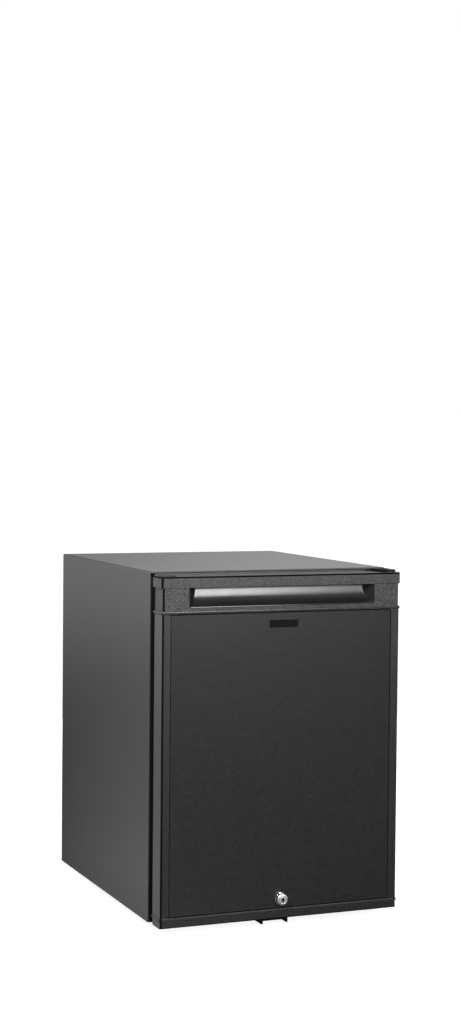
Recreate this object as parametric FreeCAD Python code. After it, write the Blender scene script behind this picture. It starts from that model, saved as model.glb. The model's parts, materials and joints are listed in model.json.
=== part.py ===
import FreeCAD, Part
import math
import os

# Compact absorption minibar with a solid door, hinged on the right.
# Millimetres. +X is right, +Y is back, +Z is up. The origin is on the floor, under the
# middle of the bounding box. The door faces -Y.

# Driving dimensions of the cabinet
CABINET_WIDTH = 400.0
CABINET_DEPTH = 451.0
CABINET_HEIGHT = 541.5
FOOT_HEIGHT = 12.0
REAR_Y = 257.0
SHEET = 1.0
FOLD_RADIUS = 2.5
SIDE_INSULATION = 38.0
TOP_INSULATION = 41.5
REAR_INSULATION = 35.0
REAR_RECESS = 75.0
LINER_WALL = 2.0
LINER_CORNER = 8.0
FRAME_DEPTH = 8.0
FRAME_INSET = 1.5

# Driving dimensions of the door
DOOR_BOTTOM_GAP = 1.8
DOOR_HEIGHT = 535.0
DOOR_THICKNESS = 34.0
DOOR_GAP = 20.0
CAP_HALF_WIDTH = 201.0
BODY_HALF_WIDTH = 199.5
HANDLE_HALF_WIDTH = 198.5
TOP_CAP_HEIGHT = 17.3
HANDLE_ZONE_HEIGHT = 35.5
RIDGE_HEIGHT = 4.5
BOTTOM_STRIP_HEIGHT = 11.2
SIDE_STRIP_WIDTH = 13.5
PANEL_INSET = 1.2
PANEL_SHEET = 1.0
MOULDING_WALL = 2.5
PROFILE_WALL = 2.2
CAP_WRAP = 4.0
EDGE_RADIUS = 2.0
DOOR_LINER_WALL = 2.0
GASKET_GAP = 0.3

# Handle recess under the top cap
RECESS_HALF_LENGTH = 155.3
RECESS_HEIGHT = 28.5
RECESS_DEPTH = 15.2
RECESS_BOTTOM_DEPTH = 1.5
RECESS_END_SLOPE = math.radians(43.0)
GRIP_POCKET = 8.5
CAP_LIP = 4.0
SCOOP_WALL = 1.5

# Hinge axis and door lock
HINGE_X = 190.0
HINGE_FROM_FRONT = 12.0
PIN_RADIUS = 3.0
BUSH_RADIUS = 5.0
BUSH_LENGTH = 20.0
RUNNING_CLEARANCE = 0.05
LOCK_FROM_DOOR_BOTTOM = 30.8
LOCK_HEAD_RADIUS = 9.25
LOCK_PROUD = 9.0
LOCK_BARREL_RADIUS = 8.0
LOCK_PLUG_RADIUS = 5.5
CAM_LENGTH = 38.0
CAM_THICKNESS = 2.5

# Inside of the cabinet
SHELF_LEVELS = {"shelf_lower": 206.0, "shelf_upper": 342.0}
SHELF_WIRE = 2.5
GRID_WIRE = 1.5
RIB_X = (142.0, 154.0)
RIB_Z = (66.0, 500.0)
RIB_CREST_Y = -168.0
RACK_HALF_WIDTH = 137.0
RACK_DEPTH = 74.0
RACK_WALL = 2.2
RACKS = {"lower_rack": (78.0, 70.0), "upper_rack": (300.0, 46.0)}

# Driving dimensions of the cooling unit behind the insulated box
BOILER_X = -120.0
JACKET_RADIUS = 35.0
CARTRIDGE_X = BOILER_X + 17.5
EXCHANGER_X = 168.0
CONDENSER_START = (-50.0, 512.0)
CONDENSER_END = (140.0, 498.0)
VESSEL_Z = 75.0
MAIN_TUBE_RADIUS = 9.0
CONTROL_BOX_TOP = 56.0
GLAND_X = -160.0
GLAND_Z = 34.0
GLAND_BORE = 3.6
STRAP_LEVELS = (122.0, 352.0)
STRAP_HEIGHT = 20.0

# Feet, hinge plates and strike
FOOT_X = 150.0
FOOT_RADIUS = 15.0
STUD_RADIUS = 4.0
PLATE = 2.5
HINGE_TAIL = 28.0
STRIKE_PLATE = 3.0
STRIKE_EAR_Z = 4.0

# Planes worked out from the driving dimensions
HALF_WIDTH = CABINET_WIDTH / 2
FRONT_Y = REAR_Y - CABINET_DEPTH
BASE_Z = FOOT_HEIGHT
TOP_Z = BASE_Z + CABINET_HEIGHT
FRAME_Y = FRONT_Y - FRAME_DEPTH
DOOR_BACK_Y = FRONT_Y - DOOR_GAP
DOOR_FRONT_Y = DOOR_BACK_Y - DOOR_THICKNESS
DOOR_Z0 = BASE_Z + DOOR_BOTTOM_GAP
DOOR_Z1 = DOOR_Z0 + DOOR_HEIGHT
STRIP_TOP_Z = DOOR_Z0 + BOTTOM_STRIP_HEIGHT
PANEL_Z0 = STRIP_TOP_Z + RIDGE_HEIGHT
CAP_Z = DOOR_Z1 - TOP_CAP_HEIGHT
HANDLE_Z = CAP_Z - HANDLE_ZONE_HEIGHT
PANEL_Z1 = HANDLE_Z - RIDGE_HEIGHT
PANEL_FRONT_Y = DOOR_FRONT_Y + PANEL_INSET
PANEL_BACK_Y = PANEL_FRONT_Y + PANEL_SHEET
LINER_BACK_Y = DOOR_BACK_Y + DOOR_LINER_WALL
INNER_X = HALF_WIDTH - SIDE_INSULATION
INNER_Z0 = BASE_Z + TOP_INSULATION
INNER_Z1 = TOP_Z - TOP_INSULATION
WALL_BACK_Y = REAR_Y - REAR_RECESS - SHEET
INNER_BACK_Y = WALL_BACK_Y - REAR_INSULATION + LINER_WALL
UNIT_Y = REAR_Y - 38.0
HINGE_Y = DOOR_FRONT_Y + HINGE_FROM_FRONT
LOCK_Z = DOOR_Z0 + LOCK_FROM_DOOR_BOTTOM
CAM_Y = DOOR_FRONT_Y + 18.2
NOTCH_TOP = DOOR_Z0 + 4.6
TOP_BRACKET_Z = DOOR_Z1 + 1.5
BOTTOM_BRACKET_Z = DOOR_Z0 + 0.2
STRIKE_Z = BASE_Z - STRIKE_PLATE
EVAPORATOR_Z0 = INNER_Z1 - 118.0
EVAPORATOR_Z1 = INNER_Z1 - 36.0
TRAY_Z = EVAPORATOR_Z0 - 24.0
CONSOLE_Z = INNER_Z1 - 24.0
CONSOLE_FRONT_Y = -112.0
X_AXIS = FreeCAD.Vector(1, 0, 0)
Y_AXIS = FreeCAD.Vector(0, 1, 0)
Z_AXIS = FreeCAD.Vector(0, 0, 1)


def point(x, y, z):
    return FreeCAD.Vector(x, y, z)


def block(x, y, z):
    """Box from three (low, high) pairs."""
    return Part.makeBox(x[1] - x[0], y[1] - y[0], z[1] - z[0], point(x[0], y[0], z[0]))


def wide(half_width, y, z):
    """Box that is centred on the middle plane."""
    return block((-half_width, half_width), y, z)


def rod(radius, length, start, axis):
    return Part.makeCylinder(radius, length, start, axis)


def fuse(shapes):
    shapes = list(shapes)
    joined = shapes[0].multiFuse(shapes[1:]) if len(shapes) > 1 else shapes[0]
    return joined.removeSplitter()


def group(shapes):
    return Part.makeCompound(list(shapes))


def prism(points, direction):
    """Extrude a closed outline of points or ready-made edges."""
    if hasattr(points[0], "Vertexes"):
        wire = Part.Wire(points)
    else:
        wire = Part.makePolygon(points + [points[0]])
    return Part.Face(wire).extrude(direction)


def rounded(shape, radius, wanted):
    """Round the straight edges for which wanted(middle, direction) holds."""
    edges = []
    for edge in shape.Edges:
        if not isinstance(edge.Curve, Part.Line):
            continue
        middle = edge.valueAt((edge.FirstParameter + edge.LastParameter) / 2)
        if wanted(middle, edge.tangentAt(edge.FirstParameter)):
            edges.append(edge)
    return shape.makeFillet(radius, edges) if edges else shape


def along(direction, axis):
    return abs(direction.dot(axis)) > 0.99


def near(value, target):
    return abs(value - target) < 0.05


def tube(points, radius, bend):
    """Round bar along straight runs that are joined by tangent arcs."""
    corners = [point(*p) for p in points]
    edges = []
    start = corners[0]
    for before, corner, after in zip(corners, corners[1:], corners[2:]):
        back = (before - corner).normalize()
        ahead = (after - corner).normalize()
        half_turn = back.getAngle(ahead) / 2
        reach = bend / math.tan(half_turn)
        centre_line = (back + ahead).normalize()
        middle = corner + centre_line * (bend / math.sin(half_turn) - bend)
        arc_start = corner + back * reach
        arc_end = corner + ahead * reach
        edges.append(Part.LineSegment(start, arc_start).toShape())
        edges.append(Part.Arc(arc_start, middle, arc_end).toShape())
        start = arc_end
    edges.append(Part.LineSegment(start, corners[-1]).toShape())
    path = Part.Wire(edges)
    first = (corners[1] - corners[0]).normalize()
    section = Part.Wire(Part.makeCircle(radius, corners[0], first))
    return path.makePipeShell([section], True, False)


def mirrored(shape):
    return shape.mirror(point(0, 0, 0), X_AXIS)


def pan_head_screw(place, axis, head_radius=4.0, head=1.8, shank_radius=2.0, shank=10.0):
    """Screw whose head lies on the given place, with its shank against the axis."""
    head_shape = rod(head_radius, head, place, axis)
    tip = place - axis * shank
    return fuse([head_shape, rod(shank_radius, shank + head / 2, tip, axis)])


# Cabinet


def outer_shell():
    """One steel sheet folded over both sides and the top, with narrow return flanges."""
    outside = wide(HALF_WIDTH, (FRONT_Y, REAR_Y), (BASE_Z, TOP_Z))
    top_fold = lambda middle, way: along(way, Y_AXIS) and middle.z > TOP_Z - 2 * SHEET
    outside = rounded(outside, FOLD_RADIUS, top_fold)
    inside = wide(HALF_WIDTH - SHEET, (FRONT_Y - SHEET, REAR_Y + SHEET), (BASE_Z - SHEET, TOP_Z - SHEET))
    inside = rounded(inside, FOLD_RADIUS - SHEET, top_fold)
    sheet = outside.cut(inside)
    flange = 12.0
    mouth = wide(HALF_WIDTH - flange, (FRONT_Y - 1, REAR_Y + 1), (BASE_Z - 1, TOP_Z - flange))
    pieces = [sheet]
    for low in (FRONT_Y, REAR_Y - SHEET):
        ring = wide(HALF_WIDTH - SHEET, (low, low + SHEET), (BASE_Z, TOP_Z - SHEET))
        pieces.append(rounded(ring, FOLD_RADIUS - SHEET, top_fold).cut(mouth))
    for side in (-1, 1):
        edge = sorted((side * (HALF_WIDTH - SHEET), side * (HALF_WIDTH - flange)))
        pieces.append(block(edge, (FRONT_Y, REAR_Y), (BASE_Z, BASE_Z + SHEET)))
    return fuse(pieces)


def base_panel():
    """Steel floor of the cabinet, lying on the shell's bottom flanges, with nut holes."""
    plate = wide(HALF_WIDTH - SHEET, (FRONT_Y + SHEET, WALL_BACK_Y), (BASE_Z + SHEET, BASE_Z + 2 * SHEET))
    for x, y in front_foot_places():
        plate = plate.cut(rod(STUD_RADIUS + RUNNING_CLEARANCE, 6.0, point(x, y, BASE_Z), Z_AXIS))
    return plate


def back_panel():
    top = TOP_Z - SHEET - 1.5
    return wide(HALF_WIDTH - SHEET, (WALL_BACK_Y, WALL_BACK_Y + SHEET), (BASE_Z + SHEET, top))


def liner_outside():
    """Square outside of the liner, so that its corners are thick and the foam's faces are flat."""
    return wide(INNER_X + LINER_WALL, (FRONT_Y, INNER_BACK_Y + LINER_WALL),
                (INNER_Z0 - LINER_WALL, INNER_Z1 + LINER_WALL))


def inner_liner():
    """Moulded white liner with two pairs of shelf ledges and the drip tray's rails."""
    inside = wide(INNER_X, (FRONT_Y - 1, INNER_BACK_Y), (INNER_Z0, INNER_Z1))
    inside = rounded(inside, LINER_CORNER, lambda middle, way: middle.y > FRONT_Y + 1)
    shell = liner_outside().cut(inside)
    ledge_depth = 8.0
    ledge_height = 6.0
    pieces = [shell]
    for level in SHELF_LEVELS.values():
        top = level - SHELF_WIRE - GASKET_GAP
        ledge = block((INNER_X - ledge_depth, INNER_X + 1), (-112.0, 118.0), (top - ledge_height, top))
        ledge = rounded(ledge, 2.5, lambda middle, way: along(way, Y_AXIS) and middle.x < INNER_X - 1)
        pieces += [ledge, mirrored(ledge)]
    rail_top = TRAY_Z - GASKET_GAP
    rail = block((116.0, 124.0), (30.0, INNER_BACK_Y + 1), (rail_top - 5.0, rail_top))
    pieces += [rail, mirrored(rail)]
    return fuse(pieces)


def front_frame():
    """Black frame round the mouth, on which the door gasket seals."""
    outer = HALF_WIDTH - FRAME_INSET
    ring = wide(outer, (FRAME_Y, FRONT_Y), (BASE_Z + FRAME_INSET, TOP_Z - FRAME_INSET))
    ring = rounded(ring, 1.5, lambda middle, way: middle.y < FRAME_Y + 0.1)
    mouth = wide(INNER_X, (FRAME_Y - 1, FRONT_Y + 1), (INNER_Z0, INNER_Z1))
    mouth = rounded(mouth, LINER_CORNER, lambda middle, way: along(way, Y_AXIS))
    return ring.cut(mouth)


def insulation():
    """Foam between the shell and the liner, cut away for whatever is buried in it."""
    foam = wide(HALF_WIDTH - SHEET, (FRONT_Y, WALL_BACK_Y), (BASE_Z + 2 * SHEET, TOP_Z - SHEET))
    foam = rounded(foam, FOLD_RADIUS - SHEET,
                   lambda middle, way: along(way, Y_AXIS) and middle.z > TOP_Z - 2)
    foam = foam.cut(liner_outside())
    for buried in [outer_shell(), evaporator_tube(), drain_tube(True), cabinet_screws(), unit_screws()]:
        foam = foam.cut(buried)
    for x, y in front_foot_places():
        foam = foam.cut(rod(STUD_RADIUS + 1.0, 34.0, point(x, y, BASE_Z), Z_AXIS))
    return foam


def evaporator_fins():
    """Finned aluminium plate on the rear wall of the cold compartment."""
    half = 110.0
    low, high = EVAPORATOR_Z0, EVAPORATOR_Z1
    plate_front = INNER_BACK_Y - 4.0
    pieces = [wide(half, (plate_front, INNER_BACK_Y), (low, high))]
    fin_count = 15
    for i in range(fin_count):
        x = -half + 1.0 + i * (2 * half - 2.0) / (fin_count - 1)
        pieces.append(block((x - 1.0, x + 1.0), (plate_front - 24.0, plate_front + 0.5), (low, high)))
    return fuse(pieces)


def drip_tray():
    """Shallow tray under the evaporator, with a pull lip at the front."""
    low = TRAY_Z
    outer = block((-130.0, 130.0), (82.0, INNER_BACK_Y - 1.0), (low, low + 15.0))
    outer = rounded(outer, 5.0, lambda middle, way: along(way, Z_AXIS))
    inner = block((-128.0, 128.0), (84.0, INNER_BACK_Y - 3.0), (low + 2.0, low + 16.0))
    inner = rounded(inner, 3.0, lambda middle, way: along(way, Z_AXIS))
    lip = block((-35.0, 35.0), (73.0, 83.0), (low + 12.5, low + 15.0))
    lip = rounded(lip, 6.0, lambda middle, way: along(way, Z_AXIS) and middle.y < 80.0)
    return fuse([outer.cut(inner), lip])


def drain_tube(solid=False):
    """Drain from the rear wall to the evaporation pan, entering under the tray."""
    bend = 14.0
    corner = (0, 196.0, TRAY_Z - 14.0)
    outside = tube([(0, 136.0, TRAY_Z - 8.0), corner, (0, 196.0, 112.0)], 5.0, bend)
    if solid:
        return outside
    return outside.cut(tube([(0, 135.0, TRAY_Z - 7.9), corner, (0, 196.0, 111.0)], 3.8, bend))


def drain_pan():
    """Open pan that rests on the warm absorber vessel."""
    outer = block((-40.0, 50.0), (187.0, 245.0), (101.0, 117.0))
    outer = rounded(outer, 4.0, lambda middle, way: along(way, Z_AXIS))
    inner = block((-38.2, 48.2), (188.8, 243.2), (102.8, 118.0))
    inner = rounded(inner, 2.4, lambda middle, way: along(way, Z_AXIS))
    return outer.cut(inner)


def lamp_housing():
    """Ceiling console that holds the lamp, the door switch and the thermostat shaft."""
    low = CONSOLE_Z
    body = block((-72.0, 72.0), (CONSOLE_FRONT_Y, -34.0), (low, INNER_Z1))
    body = rounded(body, 5.0, lambda middle, way: along(way, Z_AXIS))
    body = rounded(body, 2.0, lambda middle, way: near(middle.z, low))
    body = body.cut(block((-58.0, 20.0), (-98.0, -48.0), (low - 1, low + 14.0)))
    body = body.cut(block((52.0, 66.0), (-98.0, -60.0), (low + 6.0, INNER_Z1 + 1)))
    shaft = rod(3.0, 8.0, knob_centre() - Y_AXIS * 8.0, Y_AXIS)
    return fuse([body, shaft])


def lamp_lens():
    low = CONSOLE_Z - 3.0
    lens = block((-58.0, 20.0), (-98.0, -48.0), (low, low + 5.0))
    return rounded(lens, 2.0, lambda middle, way: near(middle.z, low))


def door_switch():
    return block((52.5, 65.5), (-97.5, -60.5), (INNER_Z1 - 17.5, INNER_Z1 - 0.5))


def knob_centre():
    return point(44.0, CONSOLE_FRONT_Y, INNER_Z1 - 12.5)


def thermostat_knob():
    """Round dial on a shaft that points at the door, with a pointer ridge."""
    centre = knob_centre()
    front = centre - Y_AXIS * 10.3
    dial = rod(10.5, 10.0, front, Y_AXIS)
    front_rim = [e for e in dial.Edges
                 if near(e.CenterOfMass.y, front.y) and isinstance(e.Curve, Part.Circle)]
    dial = dial.makeChamfer(1.0, front_rim)
    dial = dial.cut(rod(3.0 + RUNNING_CLEARANCE, 8.4, centre - Y_AXIS * 8.1, Y_AXIS))
    ridge = block((centre.x - 1.5, centre.x + 1.5), (front.y - 1.8, front.y + 0.5),
                  (centre.z - 8.0, centre.z + 8.5))
    return fuse([dial, ridge])


def wire_shelf(level):
    """Coated wire shelf: a rounded frame with cross wires."""
    half, front, back = 158.5, -116.0, 106.0
    corner = 14.0
    runs = [(0, front, level), (half, front, level), (half, back, level), (-half, back, level),
            (-half, front, level), (0, front, level)]
    pieces = [tube(runs, SHELF_WIRE, corner)]
    wires = 14
    for i in range(wires):
        x = -half + (i + 1) * 2 * half / (wires + 1)
        pieces.append(rod(GRID_WIRE, back - front, point(x, front, level), Y_AXIS))
    for y in (front + 74.0, front + 148.0):
        pieces.append(rod(SHELF_WIRE, 2 * half, point(-half, y, level), X_AXIS))
    return fuse(pieces)


# Feet, hinges and strike


def front_foot_places():
    return [(-FOOT_X, FRONT_Y + 44.0), (FOOT_X, FRONT_Y + 44.0)]


def front_foot(place):
    """Levelling foot: a round pad with a threaded stud."""
    x, y = place
    pad = rod(FOOT_RADIUS, FOOT_HEIGHT - 2.0, point(x, y, 0), Z_AXIS)
    rims = [e for e in pad.Edges if isinstance(e.Curve, Part.Circle)]
    pad = pad.makeChamfer(1.0, rims)
    collar = rod(7.0, FOOT_HEIGHT - 0.4 - 5.0, point(x, y, 5.0), Z_AXIS)
    stud = rod(STUD_RADIUS, 36.0, point(x, y, 4.0), Z_AXIS)
    return fuse([pad, collar, stud])


def rear_feet():
    feet = []
    for x in (-FOOT_X, FOOT_X):
        foot = rod(FOOT_RADIUS, FOOT_HEIGHT, point(x, WALL_BACK_Y - 35.0, 0), Z_AXIS)
        recess = rod(STUD_RADIUS, 6.0, point(x, WALL_BACK_Y - 35.0, -1.0), Z_AXIS)
        feet.append(foot.cut(recess))
    return group(feet)


def hinge_bracket_top():
    z = TOP_BRACKET_Z
    plate = block((HINGE_X - HINGE_TAIL, HINGE_X + 7.0), (HINGE_Y - 8.0, FRAME_Y), (z, z + PLATE))
    plate = rounded(plate, 6.0, lambda middle, way: along(way, Z_AXIS) and middle.y < HINGE_Y)
    leg = block((HINGE_X - HINGE_TAIL, HINGE_X + 6.0), (FRAME_Y - PLATE, FRAME_Y), (z - 14.0, z + 0.5))
    bracket = fuse([plate, leg])
    bracket = bracket.cut(rod(PIN_RADIUS, 2 * PLATE + 1, point(HINGE_X, HINGE_Y, z - 1), Z_AXIS))
    return bracket.cut(cabinet_screws())


def hinge_bracket_bottom():
    """Hinge plate under the door: a round end on the axis, a wide tail and a leg."""
    z = BOTTOM_BRACKET_Z
    tail_x = (HINGE_X - HINGE_TAIL, HINGE_X + 1.0)
    disc = rod(8.0, PLATE, point(HINGE_X, HINGE_Y, z), Z_AXIS)
    tail = block(tail_x, (HINGE_Y + 5.0, FRAME_Y), (z, z + PLATE))
    leg = block(tail_x, (FRAME_Y - PLATE, FRAME_Y), (z, z + 17.0))
    bracket = fuse([disc, tail, leg])
    bracket = bracket.cut(rod(PIN_RADIUS, 2 * PLATE + 1, point(HINGE_X, HINGE_Y, z - 1), Z_AXIS))
    return bracket.cut(cabinet_screws())


def hinge_pins():
    low = BOTTOM_BRACKET_Z
    high = TOP_BRACKET_Z + PLATE
    bottom = rod(PIN_RADIUS, 19.0, point(HINGE_X, HINGE_Y, low), Z_AXIS)
    top = rod(PIN_RADIUS, 19.0, point(HINGE_X, HINGE_Y, high - 18.8), Z_AXIS)
    return group([bottom, top])


def hinge_bushes():
    """Flanged plastic bushes in the door that turn on the pins."""
    bore = PIN_RADIUS + RUNNING_CLEARANCE
    bushes = []
    for base, way, flange in ((NOTCH_TOP, Z_AXIS, 1.4), (DOOR_Z1, Z_AXIS * -1, 1.2)):
        start = point(HINGE_X, HINGE_Y, base)
        collar = rod(7.0, flange, start - way * flange, way)
        sleeve = fuse([rod(BUSH_RADIUS, BUSH_LENGTH, start, way), collar])
        bushes.append(sleeve.cut(rod(bore, BUSH_LENGTH + 4.0, start - way * 2, way)))
    return group(bushes)


def lock_strike():
    """Folded steel catch under the door: a slotted plate between two turned-down ears."""
    z = STRIKE_Z
    left, right = -28.0, 16.5
    front, back = CAM_Y - 8.0, FRONT_Y + 22.0
    plate = block((left, right), (front, back), (z, BASE_Z))
    ear_back = back - 18.0
    pieces = [plate]
    for x in (left, right - PLATE):
        pieces.append(block((x, x + PLATE), (front, ear_back), (STRIKE_EAR_Z, BASE_Z)))
    strike = fuse(pieces)
    return strike.cut(strike_slot()).cut(cabinet_screws())


def strike_slot():
    return block((-24.5, 13.0), (CAM_Y - 3.2, CAM_Y + CAM_THICKNESS + 3.2), (0.0, BASE_Z + 1))


def cabinet_screws():
    """Pan-head screws of both hinge brackets and of the strike."""
    face = FRAME_Y - PLATE
    forward = Y_AXIS * -1
    screws = []
    for x in (HINGE_X - 20.0, HINGE_X - 6.0):
        screws.append(pan_head_screw(point(x, face, TOP_BRACKET_Z - 7.0), forward))
        screws.append(pan_head_screw(point(x, face, BOTTOM_BRACKET_Z + 11.0), forward))
    for x in (-19.0, 7.5):
        screws.append(pan_head_screw(point(x, FRONT_Y + 14.0, STRIKE_Z), Z_AXIS * -1, shank=9.0))
    return group(screws)


def hinge_hole_plugs():
    """Blanking pieces on the frame for the unused left-hand hinge, top and bottom."""
    plugs = []
    for z in (TOP_BRACKET_Z - 7.0, BOTTOM_BRACKET_Z + 11.0):
        for x in (6.0, 20.0):
            plugs.append(rod(4.0, 1.2, point(x - HINGE_X, FRAME_Y - 1.2, z), Y_AXIS))
    return group(plugs)


# Door


def front_ridge(back, low, high):
    """Rounded bead that stands slightly proud across the door."""
    ridge = wide(CAP_HALF_WIDTH, (DOOR_FRONT_Y - 0.4, back), (low, high))
    at_front = lambda middle: middle.y < DOOR_FRONT_Y
    ridge = rounded(ridge, 1.8, lambda middle, way: at_front(middle) and along(way, Z_AXIS))
    return rounded(ridge, 1.2, lambda middle, way: at_front(middle) and along(way, X_AXIS))


def door_top_cap():
    """Top moulding of the door with the handle zone and the lower ridge."""
    cap = wide(CAP_HALF_WIDTH, (DOOR_FRONT_Y, DOOR_BACK_Y + CAP_WRAP), (CAP_Z, DOOR_Z1))
    cap = rounded(cap, EDGE_RADIUS,
                  lambda middle, way: middle.y < DOOR_FRONT_Y + 0.1 and middle.z > CAP_Z + 0.1)
    zone = wide(HANDLE_HALF_WIDTH, (DOOR_FRONT_Y + 0.6, DOOR_BACK_Y), (HANDLE_Z - 1, CAP_Z + 1))
    zone = rounded(zone, EDGE_RADIUS,
                   lambda middle, way: along(way, Z_AXIS) and middle.y < DOOR_FRONT_Y + 1)
    solid = fuse([cap, zone, front_ridge(DOOR_BACK_Y + 2.0, PANEL_Z1, HANDLE_Z)])
    inner_half = HANDLE_HALF_WIDTH - MOULDING_WALL
    roof = DOOR_Z1 - MOULDING_WALL
    low_pocket = wide(inner_half, (DOOR_FRONT_Y + 3.6, DOOR_BACK_Y + 3), (PANEL_Z1 - 1, CAP_Z))
    high_pocket = wide(inner_half, (DOOR_FRONT_Y + CAP_LIP, DOOR_BACK_Y - MOULDING_WALL),
                       (CAP_Z - 1, roof))
    back_step = wide(CAP_HALF_WIDTH - MOULDING_WALL,
                     (DOOR_BACK_Y, DOOR_BACK_Y + CAP_WRAP + 1), (PANEL_Z1 - 1, roof))
    solid = solid.cut(low_pocket).cut(high_pocket).cut(back_step)
    solid = solid.cut(scoop_outside())
    solid = solid.cut(bush_hole())
    return solid.cut(door_plug_seat())


def bush_hole():
    return rod(BUSH_RADIUS, BUSH_LENGTH, point(HINGE_X, HINGE_Y, DOOR_Z1 - BUSH_LENGTH), Z_AXIS)


def bottom_bush_hole():
    return rod(BUSH_RADIUS, BUSH_LENGTH, point(HINGE_X, HINGE_Y, NOTCH_TOP), Z_AXIS)


def door_plug_seat():
    return rod(5.0, 8.0, point(-HINGE_X, HINGE_Y, DOOR_Z1 - 8.0), Z_AXIS)


def door_hole_plug():
    """Cover of the unused bush hole at the top left of the door."""
    cover = block((-CAP_HALF_WIDTH + 3.0, -CAP_HALF_WIDTH + 25.0),
                  (HINGE_Y - 8.0, HINGE_Y + 14.0), (DOOR_Z1, DOOR_Z1 + 1.4))
    cover = rounded(cover, 3.0, lambda middle, way: along(way, Z_AXIS))
    return fuse([door_plug_seat(), cover])


def scoop_profile(outset):
    """Side outline of the recess: a curve that rises from the lip to a hidden pocket."""
    depth = RECESS_DEPTH + outset
    rise = RECESS_HEIGHT - 1.0
    run = RECESS_DEPTH - RECESS_BOTTOM_DEPTH
    radius = (rise * rise + run * run) / (2 * run)
    back = DOOR_FRONT_Y + depth
    centre_y = DOOR_FRONT_Y + RECESS_DEPTH - radius
    arc_top = CAP_Z - 1.0
    arc_radius = radius + outset
    low_z = CAP_Z - RECESS_HEIGHT - outset
    half_angle = math.asin((arc_top - low_z) / arc_radius)

    def on_arc(angle):
        return point(0, centre_y + arc_radius * math.cos(angle), arc_top - arc_radius * math.sin(angle))

    arc_low = on_arc(half_angle)
    arc_mid = on_arc(half_angle / 2)
    front = DOOR_FRONT_Y + 0.3 if outset else DOOR_FRONT_Y - 2.0
    lip_back = DOOR_FRONT_Y + CAP_LIP
    pocket_top = CAP_Z + GRIP_POCKET + outset
    corners = [point(0, back, arc_top), point(0, back, pocket_top), point(0, lip_back, pocket_top),
               point(0, lip_back, CAP_Z), point(0, front, CAP_Z), point(0, front, low_z), arc_low]
    edges = [Part.LineSegment(a, b).toShape() for a, b in zip(corners, corners[1:])]
    edges.append(Part.Arc(arc_low, arc_mid, corners[0]).toShape())
    return edges


def scoop_body(outset):
    """Recess space, or the moulding's outside when an outset is given, with sloped ends."""
    half = RECESS_HALF_LENGTH + outset
    bar = prism(scoop_profile(outset), X_AXIS * (2 * half + 4.0))
    bar.translate(point(-half - 2.0, 0, 0))
    deep = RECESS_DEPTH + 6.0
    narrow = half - deep * math.tan(RECESS_END_SLOPE)
    front, back = DOOR_FRONT_Y, DOOR_FRONT_Y + deep
    low = CAP_Z - RECESS_HEIGHT - 10.0
    outline = [point(-half, front - 3, low), point(half, front - 3, low), point(half, front, low),
               point(narrow, back, low), point(-narrow, back, low), point(-half, front, low)]
    return bar.common(prism(outline, Z_AXIS * 70.0))


def scoop_outside():
    return scoop_body(SCOOP_WALL)


def handle_scoop():
    return scoop_outside().cut(scoop_body(0.0))


def hinge_notch(extra):
    """Room for the bottom hinge plate behind the strip, open to the side and the back."""
    return block((HINGE_X - HINGE_TAIL - 4.0 - extra, CAP_HALF_WIDTH + 1),
                 (DOOR_FRONT_Y + MOULDING_WALL, DOOR_BACK_Y + 8), (DOOR_Z0 - 1, NOTCH_TOP + extra))


def door_bottom_cap():
    """Bottom moulding of the door: a strip with a ridge, open inside."""
    strip = wide(BODY_HALF_WIDTH, (DOOR_FRONT_Y, DOOR_BACK_Y), (DOOR_Z0, PANEL_Z0))
    strip = rounded(strip, EDGE_RADIUS,
                    lambda middle, way: middle.y < DOOR_FRONT_Y + 0.1 and middle.z < PANEL_Z0 - 0.1)
    solid = fuse([strip, front_ridge(DOOR_BACK_Y, STRIP_TOP_Z, PANEL_Z0)])
    pocket = wide(BODY_HALF_WIDTH - MOULDING_WALL,
                  (DOOR_FRONT_Y + MOULDING_WALL, DOOR_BACK_Y - MOULDING_WALL),
                  (DOOR_Z0 + MOULDING_WALL, PANEL_Z0 + 1))
    roof = hinge_notch(MOULDING_WALL).common(pocket)
    solid = solid.cut(pocket.cut(roof)).cut(hinge_notch(0.0))
    return solid.cut(bottom_bush_hole()).cut(cam_slot())


def cam_slot():
    return block((-30.0, 14.0), (CAM_Y - 3.0, CAM_Y + CAM_THICKNESS + 3.0),
                 (DOOR_Z0 - 1, DOOR_Z0 + MOULDING_WALL + 1))


def side_profile():
    """Extruded channel on the right edge of the door, with a rebate for the front panel."""
    outer = BODY_HALF_WIDTH
    inner = outer - SIDE_STRIP_WIDTH
    body = block((inner, outer), (DOOR_FRONT_Y, DOOR_BACK_Y), (PANEL_Z0, PANEL_Z1))
    body = rounded(body, EDGE_RADIUS,
                   lambda middle, way: along(way, Z_AXIS) and middle.y < DOOR_FRONT_Y + 1
                   and middle.x > outer - 1)
    hollow = block((inner - 1, outer - PROFILE_WALL),
                   (DOOR_FRONT_Y + MOULDING_WALL, DOOR_BACK_Y - MOULDING_WALL),
                   (PANEL_Z0 - 1, PANEL_Z1 + 1))
    return body.cut(hollow)


def door_front_panel():
    half = BODY_HALF_WIDTH - SIDE_STRIP_WIDTH - 0.7
    sheet = wide(half, (PANEL_FRONT_Y, PANEL_BACK_Y), (PANEL_Z0 + 0.5, PANEL_Z1 - 0.5))
    sheet = rounded(sheet, 0.8, lambda middle, way: middle.y < PANEL_FRONT_Y + 0.1)
    return sheet.cut(rod(LOCK_BARREL_RADIUS, 10.0, point(0, DOOR_FRONT_Y - 2, LOCK_Z), Y_AXIS))


def rib_hollow():
    """Inside of the right rib, which the foam fills."""
    return block((RIB_X[0] + DOOR_LINER_WALL, RIB_X[1] - DOOR_LINER_WALL),
                 (DOOR_BACK_Y - 1, RIB_CREST_Y - DOOR_LINER_WALL),
                 (RIB_Z[0] + DOOR_LINER_WALL, RIB_Z[1] - DOOR_LINER_WALL))


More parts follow.
